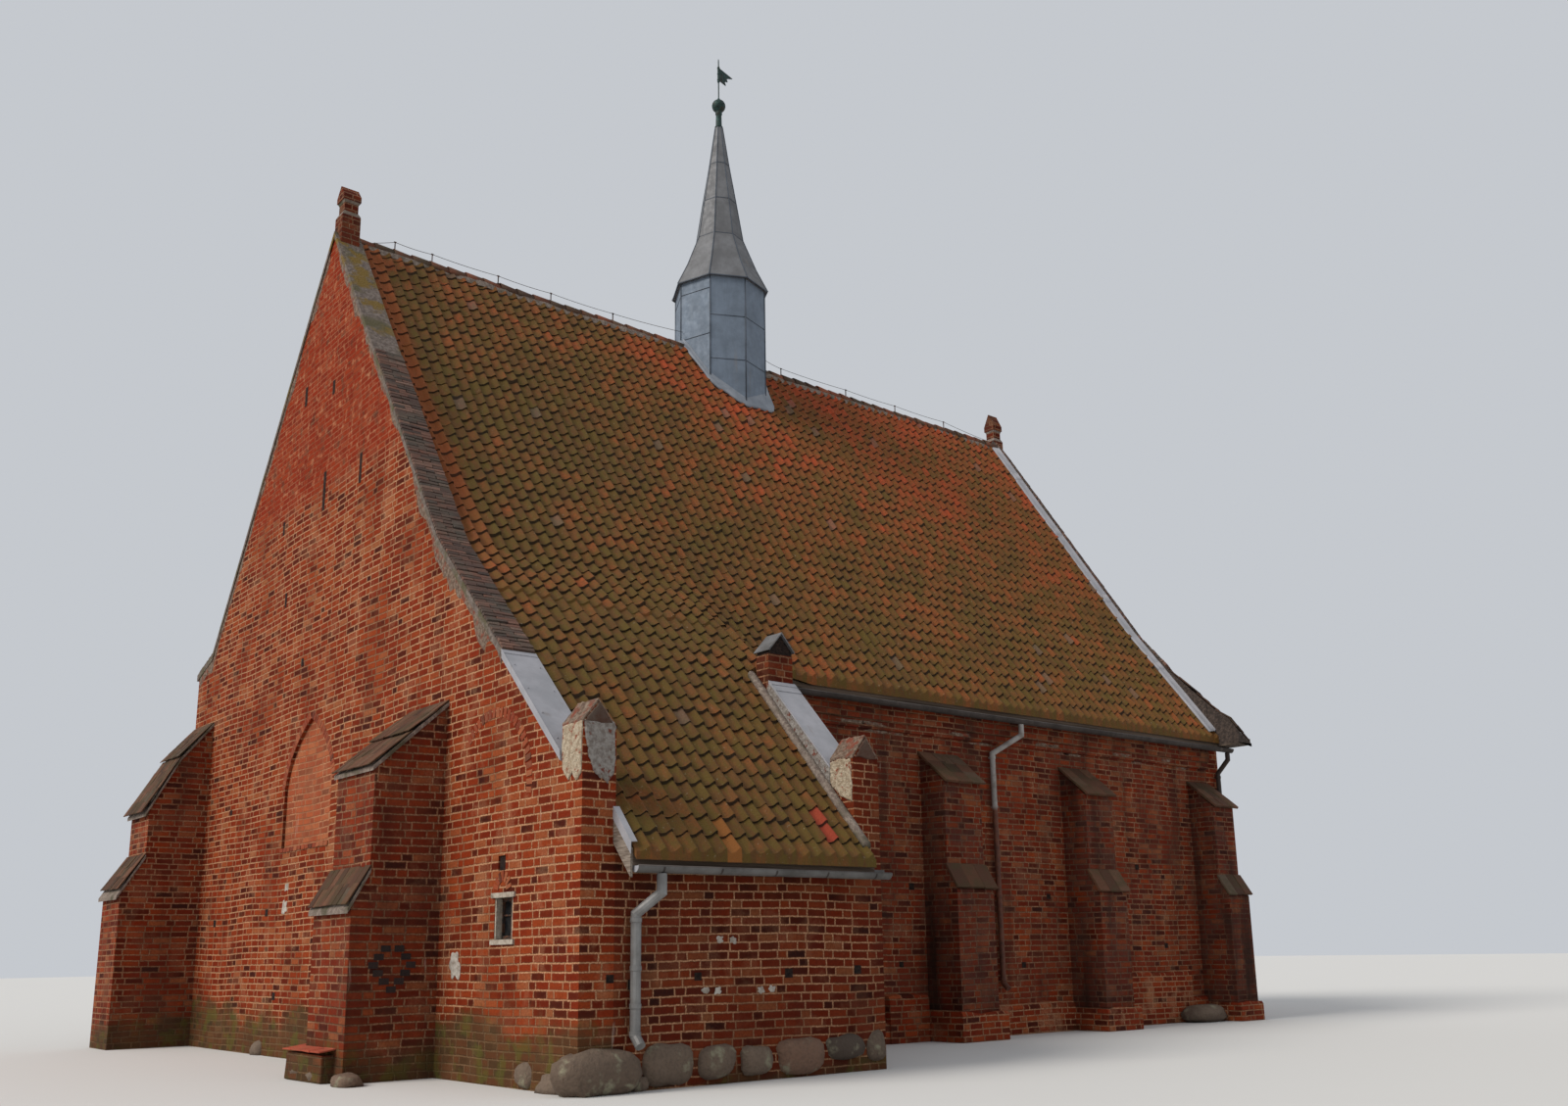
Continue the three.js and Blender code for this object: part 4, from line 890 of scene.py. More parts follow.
# The fresher red part of the roof lies high up beside and beyond the turret.
fresh = mul(eased(spot_x, 3.0, 9.0), mul_add(eased(spot_z, 7.0, 13.5), 0.75, 0.25))
fresh = add(fresh, mul(eased(spot_z, 12.3, 13.6), 0.35))
bright = mul_add(luck[0], 0.36, mul_add(noise(spot_on, 2.6, 4.0)[0], 0.75, -0.90))
bright = mul_add(fresh, 0.36, mul_add(noise(spot_on, 0.55, 3.0)[0], 0.9, bright))
clay = ramped(bright, [
    (0.0, (0.105, 0.048, 0.012)), (0.25, (0.170, 0.062, 0.015)), (0.45, (0.245, 0.062, 0.015)),
    (0.68, (0.335, 0.056, 0.015)), (1.0, (0.430, 0.060, 0.016)),
])
# Water runs down the tiles, so the moss and the bare clay lie in short streaks down the slope.
downhill = stretched(spot_on, (1.0, 0.30, 0.30))
olive = mul(cloudy(downhill, 0.11, 0.40, 0.60, detail=5.0), sub(1.05, bright))
verge = mul(sub(1.0, eased(spot_x, 0.80, 1.0)), eased(spot_z, 5.5, 9.0))
clay = laid_over(
    clay, (cloudy(spot_on, 0.05, 0.4, 0.7, detail=6.0), 0.5, (0.085, 0.044, 0.018)),
    (olive, 0.80, (0.098, 0.062, 0.011)),
    (exceeds(luck[1], 0.985), 0.35, (0.16, 0.12, 0.10)),
    (cloudy(spot_on, 0.045, 0.66, 0.74, detail=3.0), 0.5, (0.30, 0.26, 0.18)),
    (verge, 0.5, (0.34, 0.075, 0.022)),
)
low_down = mul(short_of(spot_z, 4.0), 0.85)
for number, first_course, colour in ((14, 1, (0.30, 0.040, 0.020, 1)), (6, 0, (0.25, 0.090, 0.020, 1))):
    same = mul(matches(column, number, 0.4), matches(course, first_course + 0.5, 0.9))
    clay = tinted(mul(same, low_down), clay, colour)
# Painted shade with some dirt: the lip face of each course and a thin band of the course under it are laid
# over with near-black, where the lip's shadow falls.
clay = laid_over(clay, (eased(sub(tile_map[1], course), 0.90, 0.99), 0.80, (0.014, 0.009, 0.006)))
tree.links.new(clay, shader["Base Color"])
shader["Roughness"].default_value = 0.86
bump(shader, cloudy(spot_on, 0.03, 0.25, 0.75, detail=6.0), 0.005)

rng = np.random.default_rng(17)
nave_lines, tail_lines = (
    along_slope(y, np.interp(y, *rise.T), GAUGE)
    for rise, y in ((nave_rise, np.linspace(3.07, 8.90, 400)), (tail_rise, np.linspace(-0.42, 3.10, 400)))
)
# Where the roof's surface twists, the field is laid in narrow strips of whole tiles.
seams = [TILES_NEAR, *(0.45 + TILE_WIDE * np.array([14, 17, 20, 23, 27])), TILES_FAR]
for name, shells in (
    ("nave_tiles_north", [
        pantiles(x_from, x_to, nave_lines, tile_plane, rng) for x_from, x_to in zip(seams[:-1], seams[1:])
    ]),
    ("nave_tiles_south", [pantiles(TILES_NEAR, TILES_FAR, nave_lines, nave_plane, rng, flip=True)]),
    ("sacristy_tiles", [
        pantiles(TILES_NEAR, 4.13, tail_lines, tail_plane, rng),
        pantiles(4.13, 4.60, tail_lines[tail_lines > 2.05], tail_plane, rng),
    ]),
):
    made = piece(name, [shell for shell, _ in shells], pantile, slot="roof_tile")
    mark_tiles(made, [marks for _, marks in shells])
roof_boards = coated("roof boards", (0.05, 0.035, 0.025), [
    (1.0, 0.35, 0.65, (0.14, 0.10, 0.075)),
], 0.9, (0.5, 0.3, 0.7), 0.004, stretch=(0.25, 7.0, 7.0))
dress(roof_boards, "nave_roof_north", "nave_roof_south", "sacristy_roof")

# Ridge: half-round tiles of old clay lap over one another along the top of the roof. They are bedded
# in grey mortar, which shows in lumps along both sides.
def swept(path, outline, side=y_axis, up=z_axis, loop=False):
    """A profile carried along a path: point = path + outline's first * side + its second * up. The
    outline is one for the whole path or one for each step."""
    path = np.asarray(path, float)
    outline = np.asarray(outline, float)
    outline = np.broadcast_to(outline, (len(path), *outline.shape[-2:]))
    side, up = (np.broadcast_to(v, (len(path), 3))[:, None] for v in (side, up))
    return ringed(path[:, None] + outline[..., :1] * side + outline[..., 1:] * up, loop)


def circle(radius, count=8, start=0.0, stop=2 * math.pi):
    """Points of a circle, or of an arc of it from start to stop."""
    turn = np.linspace(start, stop, count, endpoint=stop - start < 6.28)
    return radius * np.stack([np.cos(turn), np.sin(turn)], 1)


def wandering(count, amount, rng, reach=3):
    """A smooth run of chance: white noise averaged over a few neighbours."""
    noise = rng.normal(0, 1, count + 2 * reach)
    soft = np.convolve(noise, np.ones(2 * reach + 1) / math.sqrt(2 * reach + 1), "valid")
    return amount * soft


ridge_tile = fired_clay("ridge tile", [
    (0.0, (0.070, 0.038, 0.026)), (0.45, (0.13, 0.048, 0.028)), (0.8, (0.22, 0.062, 0.032)),
    (1.0, (0.30, 0.09, 0.045)),
], (0.075, 0.062, 0.040), 0.75)
ROOF_RISE = (14.150 - 8.250) / 3.930
rng = np.random.default_rng(51)
shells, beds = [], []
for x_from, x_to in ((0.47, 7.74), (9.76, 17.56)):
    count = round((x_to - x_from) / 0.36)
    step = (x_to - x_from) / count
    for k in range(count):
        outer = circle(0.132, 11, -0.35, math.pi + 0.35)
        inner = circle(0.114, 11, -0.35, math.pi + 0.35)[::-1]
        ring = np.vstack([outer, inner])
        lap, tail_end = x_from + k * step - 0.015, x_from + (k + 1) * step + 0.025
        drop = rng.normal(0, 0.006, 2)
        path = [(lap, RIDGE_Y, RIDGE_Z - 0.048 + drop[0]), (tail_end, RIDGE_Y, RIDGE_Z - 0.056 + drop[1])]
        shells.append(swept(path, np.stack([ring * 1.04, ring * 0.90])))
    x = np.arange(x_from, x_to, 0.09)
    for hand in (-1, 1):
        lump = wandering(len(x), 0.010, rng)[:, None, None]
        outline = np.array([(0.09, -0.005), (0.130, -0.03), (0.168, -0.155), (0.09, -0.12)]) * (hand, 1)
        path = spots_at(x, RIDGE_Y, RIDGE_Z - 0.035)
        beds.append(swept(path, outline + lump * np.array([hand, 0.6])))
made = piece("ridge_tiles", shells, ridge_tile, slot="roof_tile", smooth=True)
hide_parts("ridge_tiles_east", "ridge_tiles_west")
piece("ridge_bedding", beds, bed, slot="dark_tile")

# Near gable's coping: bricks on edge laid across the rake in grey mortar, under a smooth fillet of
# mortar with olive lichen near the ridge. Mortar has run over the gable's edge all the way down.
inner_rake = np.array(
    [(0.45, 3.80), (3.95, 7.25), (8.65, 14.10), (9.21, 14.10), (13.91, 7.25), (14.46, 6.98)],
)
outer_rake = np.array([(0.45, 3.80), (3.95, 7.25), (8.616, 14.05), (13.63, 7.26), (14.46, 6.98)])
far_rake = np.array(
    [(2.60, 5.75), (2.80, 6.02), (3.09, 6.23), (3.54, 6.66), (4.15, 7.27), (5.0, 8.25), (RIDGE_Y, RIDGE_Z)],
)


def east_top(x, y):
    """Top of the near gable's coping: straight across from the outer rake to the inner one."""
    part = (x + 0.03) / 0.48
    return (1 - part) * np.interp(y, *outer_rake.T) + part * np.interp(y, *inner_rake.T)


def west_top(x, y):
    """Top of the far gable's coping, which leans outwards over the tiles' profile."""
    north = np.minimum(y, 2 * RIDGE_Y - y)
    lean = 0.20 - 0.33 * (x - 17.60) / 0.48
    return np.interp(north, *far_rake.T) + lean - np.where(north < 4.151, 0.035, 0.0)


lichen_mortar, tree, shader, spot_on = finish("lichened mortar")
high = eased(numbers(spot_on)[2], 9.5, 12.5)
coat = layered(spot_on, (0.115, 0.088, 0.075), [
    (0.06, 0.35, 0.7, (0.215, 0.175, 0.150)), (0.5, 0.45, 0.62, (0.10, 0.085, 0.045)),
])
yellow = mul(high, cloudy(spot_on, 0.45, 0.50, 0.60, detail=6.0))
tree.links.new(tinted(mul(yellow, 0.9), coat, (0.17, 0.105, 0.018, 1)), shader["Base Color"])
shader["Roughness"].default_value = 0.95
bump(shader, cloudy(spot_on, 0.04, 0.25, 0.75, detail=7.0), 0.012)
dress(lichen_mortar, "east_coping_north", "east_coping_south")
# The far gable's coping mortar is a dark brown, darkened partly as painted shade; the same mortar skins the
# coping's face above the tiles.
dark_mortar = coated("dark mortar with painted shade", (0.040, 0.031, 0.027), [
    (0.06, 0.35, 0.7, (0.090, 0.066, 0.054)),
], 0.95, (0.04, 0.25, 0.75, 7.0), 0.012)
dress(dark_mortar, "west_coping_north", "west_coping_south")


def edge_bricks(top, x_from, x_to, y_from, y_to, rng, pitch=0.068, proud=0.026):
    """Bricks on edge across a rake: middle = top(x, y) at even steps along the slope, each turned to
    the slope there. Two to a row, one long and one short in turn."""
    y = np.linspace(y_from, y_to, 400)
    y = along_slope(y, top((x_from + x_to) / 2 + 0 * y, y), pitch, middles=True)
    rows = len(y)
    split = x_from + (x_to - x_from) * np.where(np.arange(rows) % 2, 0.64, 0.36)
    centres, halves, frames = [], [], []
    for low, high in ((np.full(rows, x_from), split), (split, np.full(rows, x_to))):
        x = (low + high) / 2
        z = top(x, y)
        rise = (top(x, y + 0.02) - top(x, y - 0.02)) / 0.04
        fall = (top(x + 0.02, y) - top(x - 0.02, y)) / 0.04
        across = spots_at(1, 0, fall)
        uphill = spots_at(0, 1, rise)
        across /= np.linalg.norm(across, axis=1, keepdims=True)
        uphill /= np.linalg.norm(uphill, axis=1, keepdims=True)
        centres.append(spots_at(x, y, z + rng.normal(proud - 0.03, 0.005, rows)))
        halves.append(spots_at((high - low) / 2 - 0.005, pitch * 0.42, 0.035))
        frames.append(np.stack([across, uphill, np.cross(across, uphill)], 1))
    return laid_bricks(np.vstack(centres), np.vstack(halves), rng, 0.003, np.vstack(frames))


dark_brick = fired_clay("weathered coping brick", [
    (0.0, (0.050, 0.034, 0.030)), (0.5, (0.105, 0.058, 0.046)), (0.85, (0.16, 0.072, 0.050)),
    (1.0, (0.21, 0.12, 0.09)),
], (0.095, 0.082, 0.065), 0.7, 0.92)
rng = np.random.default_rng(61)
piece("east_coping_bricks", [
    edge_bricks(east_top, -0.028, 0.448, 1.95, 6.55, rng),
    edge_bricks(east_top, -0.028, 0.448, 9.25, 13.60, rng),
    edge_bricks(east_top, -0.028, 0.448, 13.66, 14.42, rng, proud=0.02),
], dark_brick, slot="dark_tile", edge=0.003)


def blanket(a, b, place, thick, down=(0, 0, -1)):
    """A sheet over two parameters, closed all round: place(a, b) is its upper side, and the lower
    side lies thick along down from it."""
    upper = np.stack(place(*np.meshgrid(a, b, indexing="ij")), -1)
    lower_side = upper + np.asarray(down, float) * np.reshape(thick, (-1, 1, 1) if np.ndim(thick) else ())
    rows, columns = upper.shape[:2]
    top = np.arange(rows * columns).reshape(rows, columns)
    bottom = top + rows * columns
    faces = [np.stack([top[:-1, :-1], top[1:, :-1], top[1:, 1:], top[:-1, 1:]], -1).reshape(-1, 4)]
    faces.append(
        np.stack([bottom[:-1, :-1], bottom[:-1, 1:], bottom[1:, 1:], bottom[1:, :-1]], -1).reshape(-1, 4),
    )
    for line, under in ((top[:, 0], bottom[:, 0]), (top[::-1, -1], bottom[::-1, -1]),
                        (top[0, ::-1], bottom[0, ::-1]), (top[-1], bottom[-1])):
        faces.append(np.stack([line[1:], line[:-1], under[:-1], under[1:]], -1))
    return np.concatenate([upper.reshape(-1, 3), lower_side.reshape(-1, 3)]), np.concatenate(faces)


def ragged_run(rake, x, hand, y_from, y_to, rng, wide, thick=0.014):
    """Mortar over a gable's edge: from the rake's line down the wall's face by a width that wanders,
    and hand says which way the face looks."""
    y = np.arange(y_from, y_to, 0.07)
    z = np.interp(y, *rake.T) - 0.10
    width = np.clip(wide + wandering(len(y), wide * 0.45, rng, 2), 0.02, 3 * wide)
    proud = thick * (1 + wandering(len(y), 0.3, rng, 2))
    profile = ((-0.02, 0.0), (proud, -0.01), (proud * 0.8, -0.7 * width), (-0.002, -width))
    outline = np.stack([spots_at(out, fall, 0 * y)[:, :2] for out, fall in profile], 1)
    return swept(spots_at(x, y, z), outline, hand * x_axis)


tan_mortar = coated("ragged mortar", (0.110, 0.068, 0.048), [
    (0.05, 0.35, 0.7, (0.26, 0.195, 0.145)), (0.16, 0.5, 0.66, (0.20, 0.055, 0.032)),
], 0.95, (0.03, 0.25, 0.75, 7.0), 0.010)
piece("rake_mortar", [
    ragged_run(outer_rake, 0.0, -1, 1.98, 8.40, rng, 0.20),
    ragged_run(outer_rake, 0.0, -1, 8.80, 14.36, rng, 0.16),
    ragged_run(far_rake + (0, -0.13), 18.05, 1, 3.60, 8.88, rng, 0.14),
], tan_mortar, slot="dark_tile")

# Corner stumps: the gable's low rake and the sacristy's parapet both end in a brick stump over the
# corner. Cream and grey plaster still clings to them, and a rough hood of mortar covers each.
def coat_of(outline, wall_axis, face, rng, thick):
    """A slab of plaster on a wall: the outline's edges are broken up and moved by chance."""
    outline = np.array(outline, float)
    part = np.linspace(0, 1, 5, endpoint=False)[None, :, None]
    line = (outline[:, None] + (np.roll(outline, -1, 0) - outline)[:, None] * part).reshape(-1, 2)
    line = line + rng.normal(0, 0.008, line.shape)
    return slab(line, line.mean(0), wall_axis, face, thick, 0.93)


def hood(x_from, x_to, y_from, y_to, eave, top, rng, thick=0.05):
    """Mortar over a saddle top: height falls evenly from the middle line to both eaves, plus lumps."""
    middle, half = (x_from + x_to) / 2, (x_to - x_from) / 2
    a, b = np.linspace(x_from, x_to, 13), np.linspace(y_from, y_to, 10)
    lumps = rng.normal(0, 0.010, (13, 10))
    place = lambda x, y: (x, y, eave + (top - eave) * (1 - np.abs(x - middle) / half) + 0.006 + np.abs(lumps))
    return blanket(a, b, place, thick)


cream = coated("cream plaster", (0.50, 0.42, 0.31), [
    (0.05, 0.35, 0.65, (0.33, 0.25, 0.17)), (0.12, 0.56, 0.66, (0.26, 0.075, 0.04)),
], 0.93, (0.04, 0.25, 0.75, 7.0), 0.016)
grey_plaster = coated("grey plaster", (0.30, 0.275, 0.25), [
    (0.05, 0.35, 0.65, (0.18, 0.15, 0.13)), (0.10, 0.58, 0.66, (0.16, 0.045, 0.03)),
], 0.93, (0.04, 0.25, 0.75, 7.0), 0.014)
rng = np.random.default_rng(71)
piece("stump_cream_plaster", [
    coat_of(
        [(0.015, 3.50), (0.12, 3.42), (0.20, 3.52), (0.30, 3.44), (0.43, 3.58), (0.44, 4.08), (0.015, 4.10)],
        0, 0.0, rng, 0.020,
    ),
    coat_of(
        [(0.03, 3.40), (0.25, 3.50), (0.44, 3.68), (0.44, 3.97), (0.25, 3.99), (0.02, 3.97)], 0, 4.15, rng,
        0.018,
    ),
], cream, slot="stone")
piece("stump_grey_plaster", [
    coat_of([
        (0.08, 3.70), (0.17, 3.50), (0.33, 3.40), (0.42, 3.52), (0.43, 3.80), (0.42, 4.12), (0.02, 4.11),
        (0.03, 3.90),
    ], 1, 0.0, rng, 0.020),
], grey_plaster, slot="stone")
stump_brick = fired_clay(
    "stump cap brick", [(0.0, (0.040, 0.022, 0.016)), (1.0, (0.095, 0.044, 0.028))], (0.12, 0.095, 0.075),
    0.6,
)
piece("stump_cap_mortar", [
    hood(-0.006, 0.406, -0.004, 0.45, 4.098, 4.362, rng, 0.03),
    hood(4.146, 4.604, -0.004, 0.45, 4.002, 4.292, rng, 0.03),
], tan_mortar, slot="stone")
piece("stump_cap_ends", [
    coat_of([(0.015, 4.09), (0.395, 4.09), (0.30, 4.21), (0.205, 4.32), (0.11, 4.21)], 1, 0.0, rng, 0.024),
    coat_of([(4.19, 3.99), (4.57, 3.99), (4.47, 4.13), (4.375, 4.26), (4.28, 4.13)], 1, 0.0, rng, 0.024),
], stump_brick)

# Zinc on the low rakes: one folded sheet over the gable's foot, and one over the sacristy's parapet
# with a lapped joint near its top. The edges are turned down as drips, and nails hold them.
def sheet_metal(name, light, dark, rough=0.55, metallic=0.10, streaks=0.6):
    """Weathered sheet: two greys in soft clouds, faint streaks down it and a few stains."""
    made, tree, shader, spot = finish(name)
    base = layered(spot, light, [(0.35, 0.3, 0.7, dark, 1.0, 5.0)])
    base = layered(stretched(spot, (1.0, 1.0, 0.10)), base, [
        (0.10, 0.45, 0.75, dark, streaks, 5.0), (0.22, 0.60, 0.76, (0.20, 0.17, 0.15), 0.5, 6.0),
    ])
    tree.links.new(base, shader["Base Color"])
    patina = {0: cloudy(spot, 0.12, 0.3, 0.7), 3: rough - 0.06, 4: rough + 0.18}
    tree.links.new(wire(tree, "ShaderNodeMapRange", patina).outputs[0], shader["Roughness"])
    shader["Metallic"].default_value = metallic
    bump(shader, cloudy(spot, 0.30, 0.1, 0.9, detail=2.0), 0.006)
    return made


bright_zinc = sheet_metal("light zinc", (0.36, 0.355, 0.38), (0.29, 0.29, 0.31), 0.55, 0.15, 0.25)
dull_zinc = sheet_metal("grey-blue zinc", (0.175, 0.215, 0.270), (0.130, 0.160, 0.200))
seam_zinc = sheet_metal("seam zinc", (0.085, 0.100, 0.125), (0.055, 0.065, 0.080))
dress(bright_zinc, "east_zinc_coping", "sacristy_zinc_coping")
drip = np.array([(-0.004, 0.006), (0.004, 0.006), (0.004, -0.055), (-0.002, -0.060), (-0.004, -0.055)])
folds = []
for rake, lines, y_from, y_to in (
    (inner_rake, (-0.033, 0.452), 0.452, 1.94),
    (np.array([(0.45, 3.915), (1.74, 5.305)]), (4.147, 4.632), 0.452, 1.738),
):
    for x in lines:
        y = np.array([y_from, y_to])
        folds.append(swept(spots_at(x, y, np.interp(y, *rake.T)), drip, x_axis))
for x0, x1, y, z in ((-0.034, 0.454, 1.90, 5.229), (4.146, 4.633, 1.70, 5.262), (4.146, 4.633, 1.60, 5.155)):
    uphill = np.array([0.0, 0.68, 0.733])
    axes = np.stack([x_axis, uphill, np.cross(x_axis, uphill)])
    folds.append(laid_bricks([((x0 + x1) / 2, y, z + 0.004)], ((x1 - x0) / 2, 0.035, 0.006), rng, 0.0, axes))
nails = np.array([
    (x, y, float(np.interp(y, *inner_rake.T)) + 0.004)
    for x in (0.03, 0.39) for y in (0.62, 0.98, 1.34, 1.70)
])
folds.append(laid_bricks(nails, (0.008, 0.008, 0.006), rng, 0.0))
piece("zinc_coping_folds", folds, bright_zinc, slot="zinc")

# Sacristy parapet, roof side: a fillet of mortar seals the tiles against it, and the masonry above
# is roughly rendered. A little gabled cap of folded zinc sits on the brick stub at the top. Strips of
# zinc seal the nave's tiles against the far gable and beside the near gable's post.
y = np.linspace(0.44, 1.76, 15)
rough_face = rng.normal(0, 0.006, (15, 6))


def parapet_side(a, b):
    """Render on the parapet's roof side: from the tiles up to the coping, with lumps."""
    low = tail_plane(0 * a, a) + 0.02
    high = np.interp(a, [0.45, 1.74], [3.915, 5.305]) - 0.03
    return 4.150 - 0.014 - np.abs(rough_face), a, low + (high - low) * b


piece("parapet_render", [
    blanket(y, np.linspace(0, 1, 6), parapet_side, 0.02, (1, 0, 0)),
], grey_plaster, slot="stone")
y = np.linspace(-0.30, 2.06, 18)
shift = wandering(18, 0.004, rng)
path = spots_at(4.10 + shift, y, tail_plane(0 * y, y) + 0.11)
outline = np.array(
    [(-0.085, -0.03), (-0.080, 0.030), (-0.045, 0.062), (0.010, 0.066), (0.048, 0.040), (0.048, -0.03)],
)
piece("parapet_fillet", [swept(path, outline, x_axis)], bed, slot="dark_tile", smooth=True)
flashing = []
y = np.linspace(3.12, 8.74, 40)
for beside, plane in ((y, tile_plane), (2 * RIDGE_Y - y, nave_plane)):
    surface = plane(17.5 + 0 * y, y)
    path = spots_at(17.48 + wandering(40, 0.004, rng), beside, surface + 0.134 + wandering(40, 0.003, rng))
    strip = np.array([
        (-0.135, -0.02), (-0.135, 0.022), (-0.05, 0.046), (0.095, 0.050), (0.103, 0.085), (0.110, 0.085),
        (0.103, 0.030), (-0.05, 0.020),
    ])
    flashing.append(swept(path, strip, x_axis))
    for k in (8, 17, 26, 34):
        lap = path[k : k + 2] + (0, 0, 0.006)
        flashing.append(swept(lap, strip, x_axis))
y = np.linspace(7.75, 8.55, 16)
for beside in (y, 2 * RIDGE_Y - y):
    path = spots_at(0.50, beside, nave_plane(0 * y, y) + 0.15)
    strip = np.array(
        [(-0.04, 0.10), (-0.035, 0.10), (-0.025, 0.02), (0.05, -0.01), (0.05, -0.018), (-0.035, 0.01)],
    )
    flashing.append(swept(path, strip, x_axis))
piece("verge_flashings", flashing, bright_zinc, slot="zinc", smooth=True)
stub_zinc = sheet_metal("aged zinc", (0.17, 0.17, 0.175), (0.10, 0.098, 0.098), 0.55, 0.15, 0.6)
sheet = np.array([
    (-0.245, 5.755), (-0.235, 5.750), (0.0, 6.018), (0.235, 5.750), (0.245, 5.755),
    (0.245, 5.768), (0.0, 6.045), (-0.245, 5.768),
])
made = piece("folded_stub_cap", [
    swept([(4.375, 1.702, 0), (4.375, 2.058, 0)], sheet, x_axis),
], stub_zinc, slot="zinc")
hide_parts("parapet_stub_cap")
# Painted shade: under the zinc cap sits a near-black prism, set back a little from the sheet's edges,
# standing for the shadow in the hollow beneath the cap.
wedge = np.array([(-0.215, 5.69), (0.215, 5.69), (0.215, 5.760), (0.0, 6.005), (-0.215, 5.760)])
piece("stub_cap_bed", [swept([(4.375, 1.745, 0), (4.375, 2.015, 0)], wedge, x_axis)], soot_and_shade, slot="dark_tile")

# Posts on both gables: brick shafts on a wider foot, under a brick cap with a saddle top. Sloping
# mortar eases the step between foot and shaft.
post_brick = brickwork("post brick", glow=0.62, soot_and_shade=0.65, bare=0.6, foot=0.0, depth=0.008)
dress(post_brick, "east_apex_post", "west_apex_post")
square = np.array([(-1, -1), (1, -1), (1, 1), (-1, 1)], float)
eases = []
for x, y in ((0.20, 8.60), (17.80, 9.08)):
    path = [(x, y, 14.345), (x, y, 14.37), (x, y, 14.435)]
    eases.append(swept(path, square[None] * np.array([0.166, 0.160, 0.127])[:, None, None], x_axis, y_axis))
    path = [(x, y, 14.600), (x, y, 14.655)]
    eases.append(swept(path, square[None] * np.array([0.127, 0.150])[:, None, None], x_axis, y_axis))
piece("post_mortar", eases, bed, slot="brick")

# Far gable's coping: bricks on edge as on the near one, and dark flat tiles over the flared ends that
# carry the coping out past the eaves. A dark board closes each end from below.
rng = np.random.default_rng(81)
copings = [
    edge_bricks(west_top, 17.602, 18.072, 4.25, 8.86, rng, proud=0.045),
    edge_bricks(west_top, 17.602, 18.072, 9.30, 2 * RIDGE_Y - 4.25, rng, proud=0.045),
]
piece("west_coping_bricks", copings, dark_brick, slot="dark_tile", edge=0.003)
ends = []
for hand in (1, -1):
    steps = np.maximum(far_rake[:5, 0], far_rake[0, 0] + 0.07)[::-1]
    for y0, y1 in zip(steps[:-1], steps[1:]):
        spots = [
            (x, RIDGE_Y + hand * (y - RIDGE_Y), west_top(x, y))
            for x, y in ((17.61, y0), (18.03, y0), (17.61, y1))
        ]
        ends.append(tiled_slope(*spots, rng, (0.22, 0.26), 0.024, 0.016, 0.008))
dark_tile = fired_clay(
    "sooty flat tile", [(0.0, (0.028, 0.018, 0.014)), (1.0, (0.085, 0.042, 0.028))], (0.040, 0.030, 0.018),
    0.6,
)
piece("flared_end_tiles", ends, dark_tile, slot="dark_tile", edge=0.003)


def verge_side(y, part):
    """The coping's face towards the roof: height runs from the tiles up to the coping's top."""
    low, high = tile_plane(17.5 + 0 * y, y) + 0.04, west_top(17.60 + 0 * y, y) - 0.03
    return 17.592 - 0.004 * np.abs(np.sin(9 * y)), y, low + (high - low) * part


# Painted shade in part: a thin skin of the darkened mortar hides the coping's brick face between the tiles
# and its top.
fillets = [blanket(np.linspace(3.30, 8.80, 34), np.linspace(0, 1, 4), verge_side, 0.006, (1, 0, 0))]
fillets.append((fillets[0][0] * (1, -1, 1) + (0, 2 * RIDGE_Y, 0), *(q[:, ::-1] for q in fillets[0][1:])))
piece("far_verge_mortar", fillets, dark_mortar, slot="dark_tile")
dark_timber = coated("dark weathered timber", (0.045, 0.034, 0.028), [
    (0.03, 0.35, 0.65, (0.12, 0.088, 0.066)),
], 0.88, (0.015, 0.3, 0.7), 0.003, stretch=(1.0, 0.15, 1.0))
boards = np.array([
    ((x, y, z), (wide, 0.40, tall)) for x, z, wide, tall in (
        (17.83, 5.635, 0.235, 0.016), (18.06, 5.70, 0.014, 0.055),
    )
    for y in (3.02, 14.84)
])
piece(
    "flared_end_boards", [laid_bricks(boards[:, 0], boards[:, 1], rng, 0.002)], dark_timber, slot="timber",
    edge=0.003,
)

# Eaves: the brick cornice carries the roof's edge, with its mortar broken away in places. Gutters of
# half-round zinc hang on iron straps, and their front edge is rolled over a bead.
rng = np.random.default_rng(91)
flakes = []
for x in (5.4, 7.3, 7.75, 9.9, 12.2, 12.5, 14.6, 16.1):
    flakes.append(patch((x, 3.395, 5.235), (rng.uniform(0.08, 0.30), 0.030), 1, rng, 0.008))
    flakes.append(patch((x + 0.6, 3.45, 5.12), (rng.uniform(0.10, 0.28), 0.022), 1, rng, 0.006))
piece("cornice_mortar", flakes, tan_mortar, slot="brick")
gutter_zinc = sheet_metal("gutter zinc", (0.150, 0.145, 0.140), (0.085, 0.080, 0.075), 0.6, 0.15, 0.3)
dark_gutter = sheet_metal("dark gutter zinc", (0.062, 0.050, 0.045), (0.036, 0.029, 0.026), 0.68, 0.10, 0.4)
bead_zinc = sheet_metal("bead zinc", (0.125, 0.108, 0.100), (0.070, 0.060, 0.055), 0.6, 0.15, 0.3)
troughs = (
    ("north_gutter", 4.62, 18.05, 3.09, 5.575, -1, dark_gutter),
    ("south_gutter", 0.451, 18.05, 14.77, 5.575, 1, dark_gutter),
    ("sacristy_gutter", 0.48, 4.38, -0.37, 2.445, -1, gutter_zinc),
)
beads, straps = [], []
arc = circle(0.079, 9, math.pi, 2 * math.pi)
thin = circle(0.074, 9, math.pi, 2 * math.pi)[::-1]
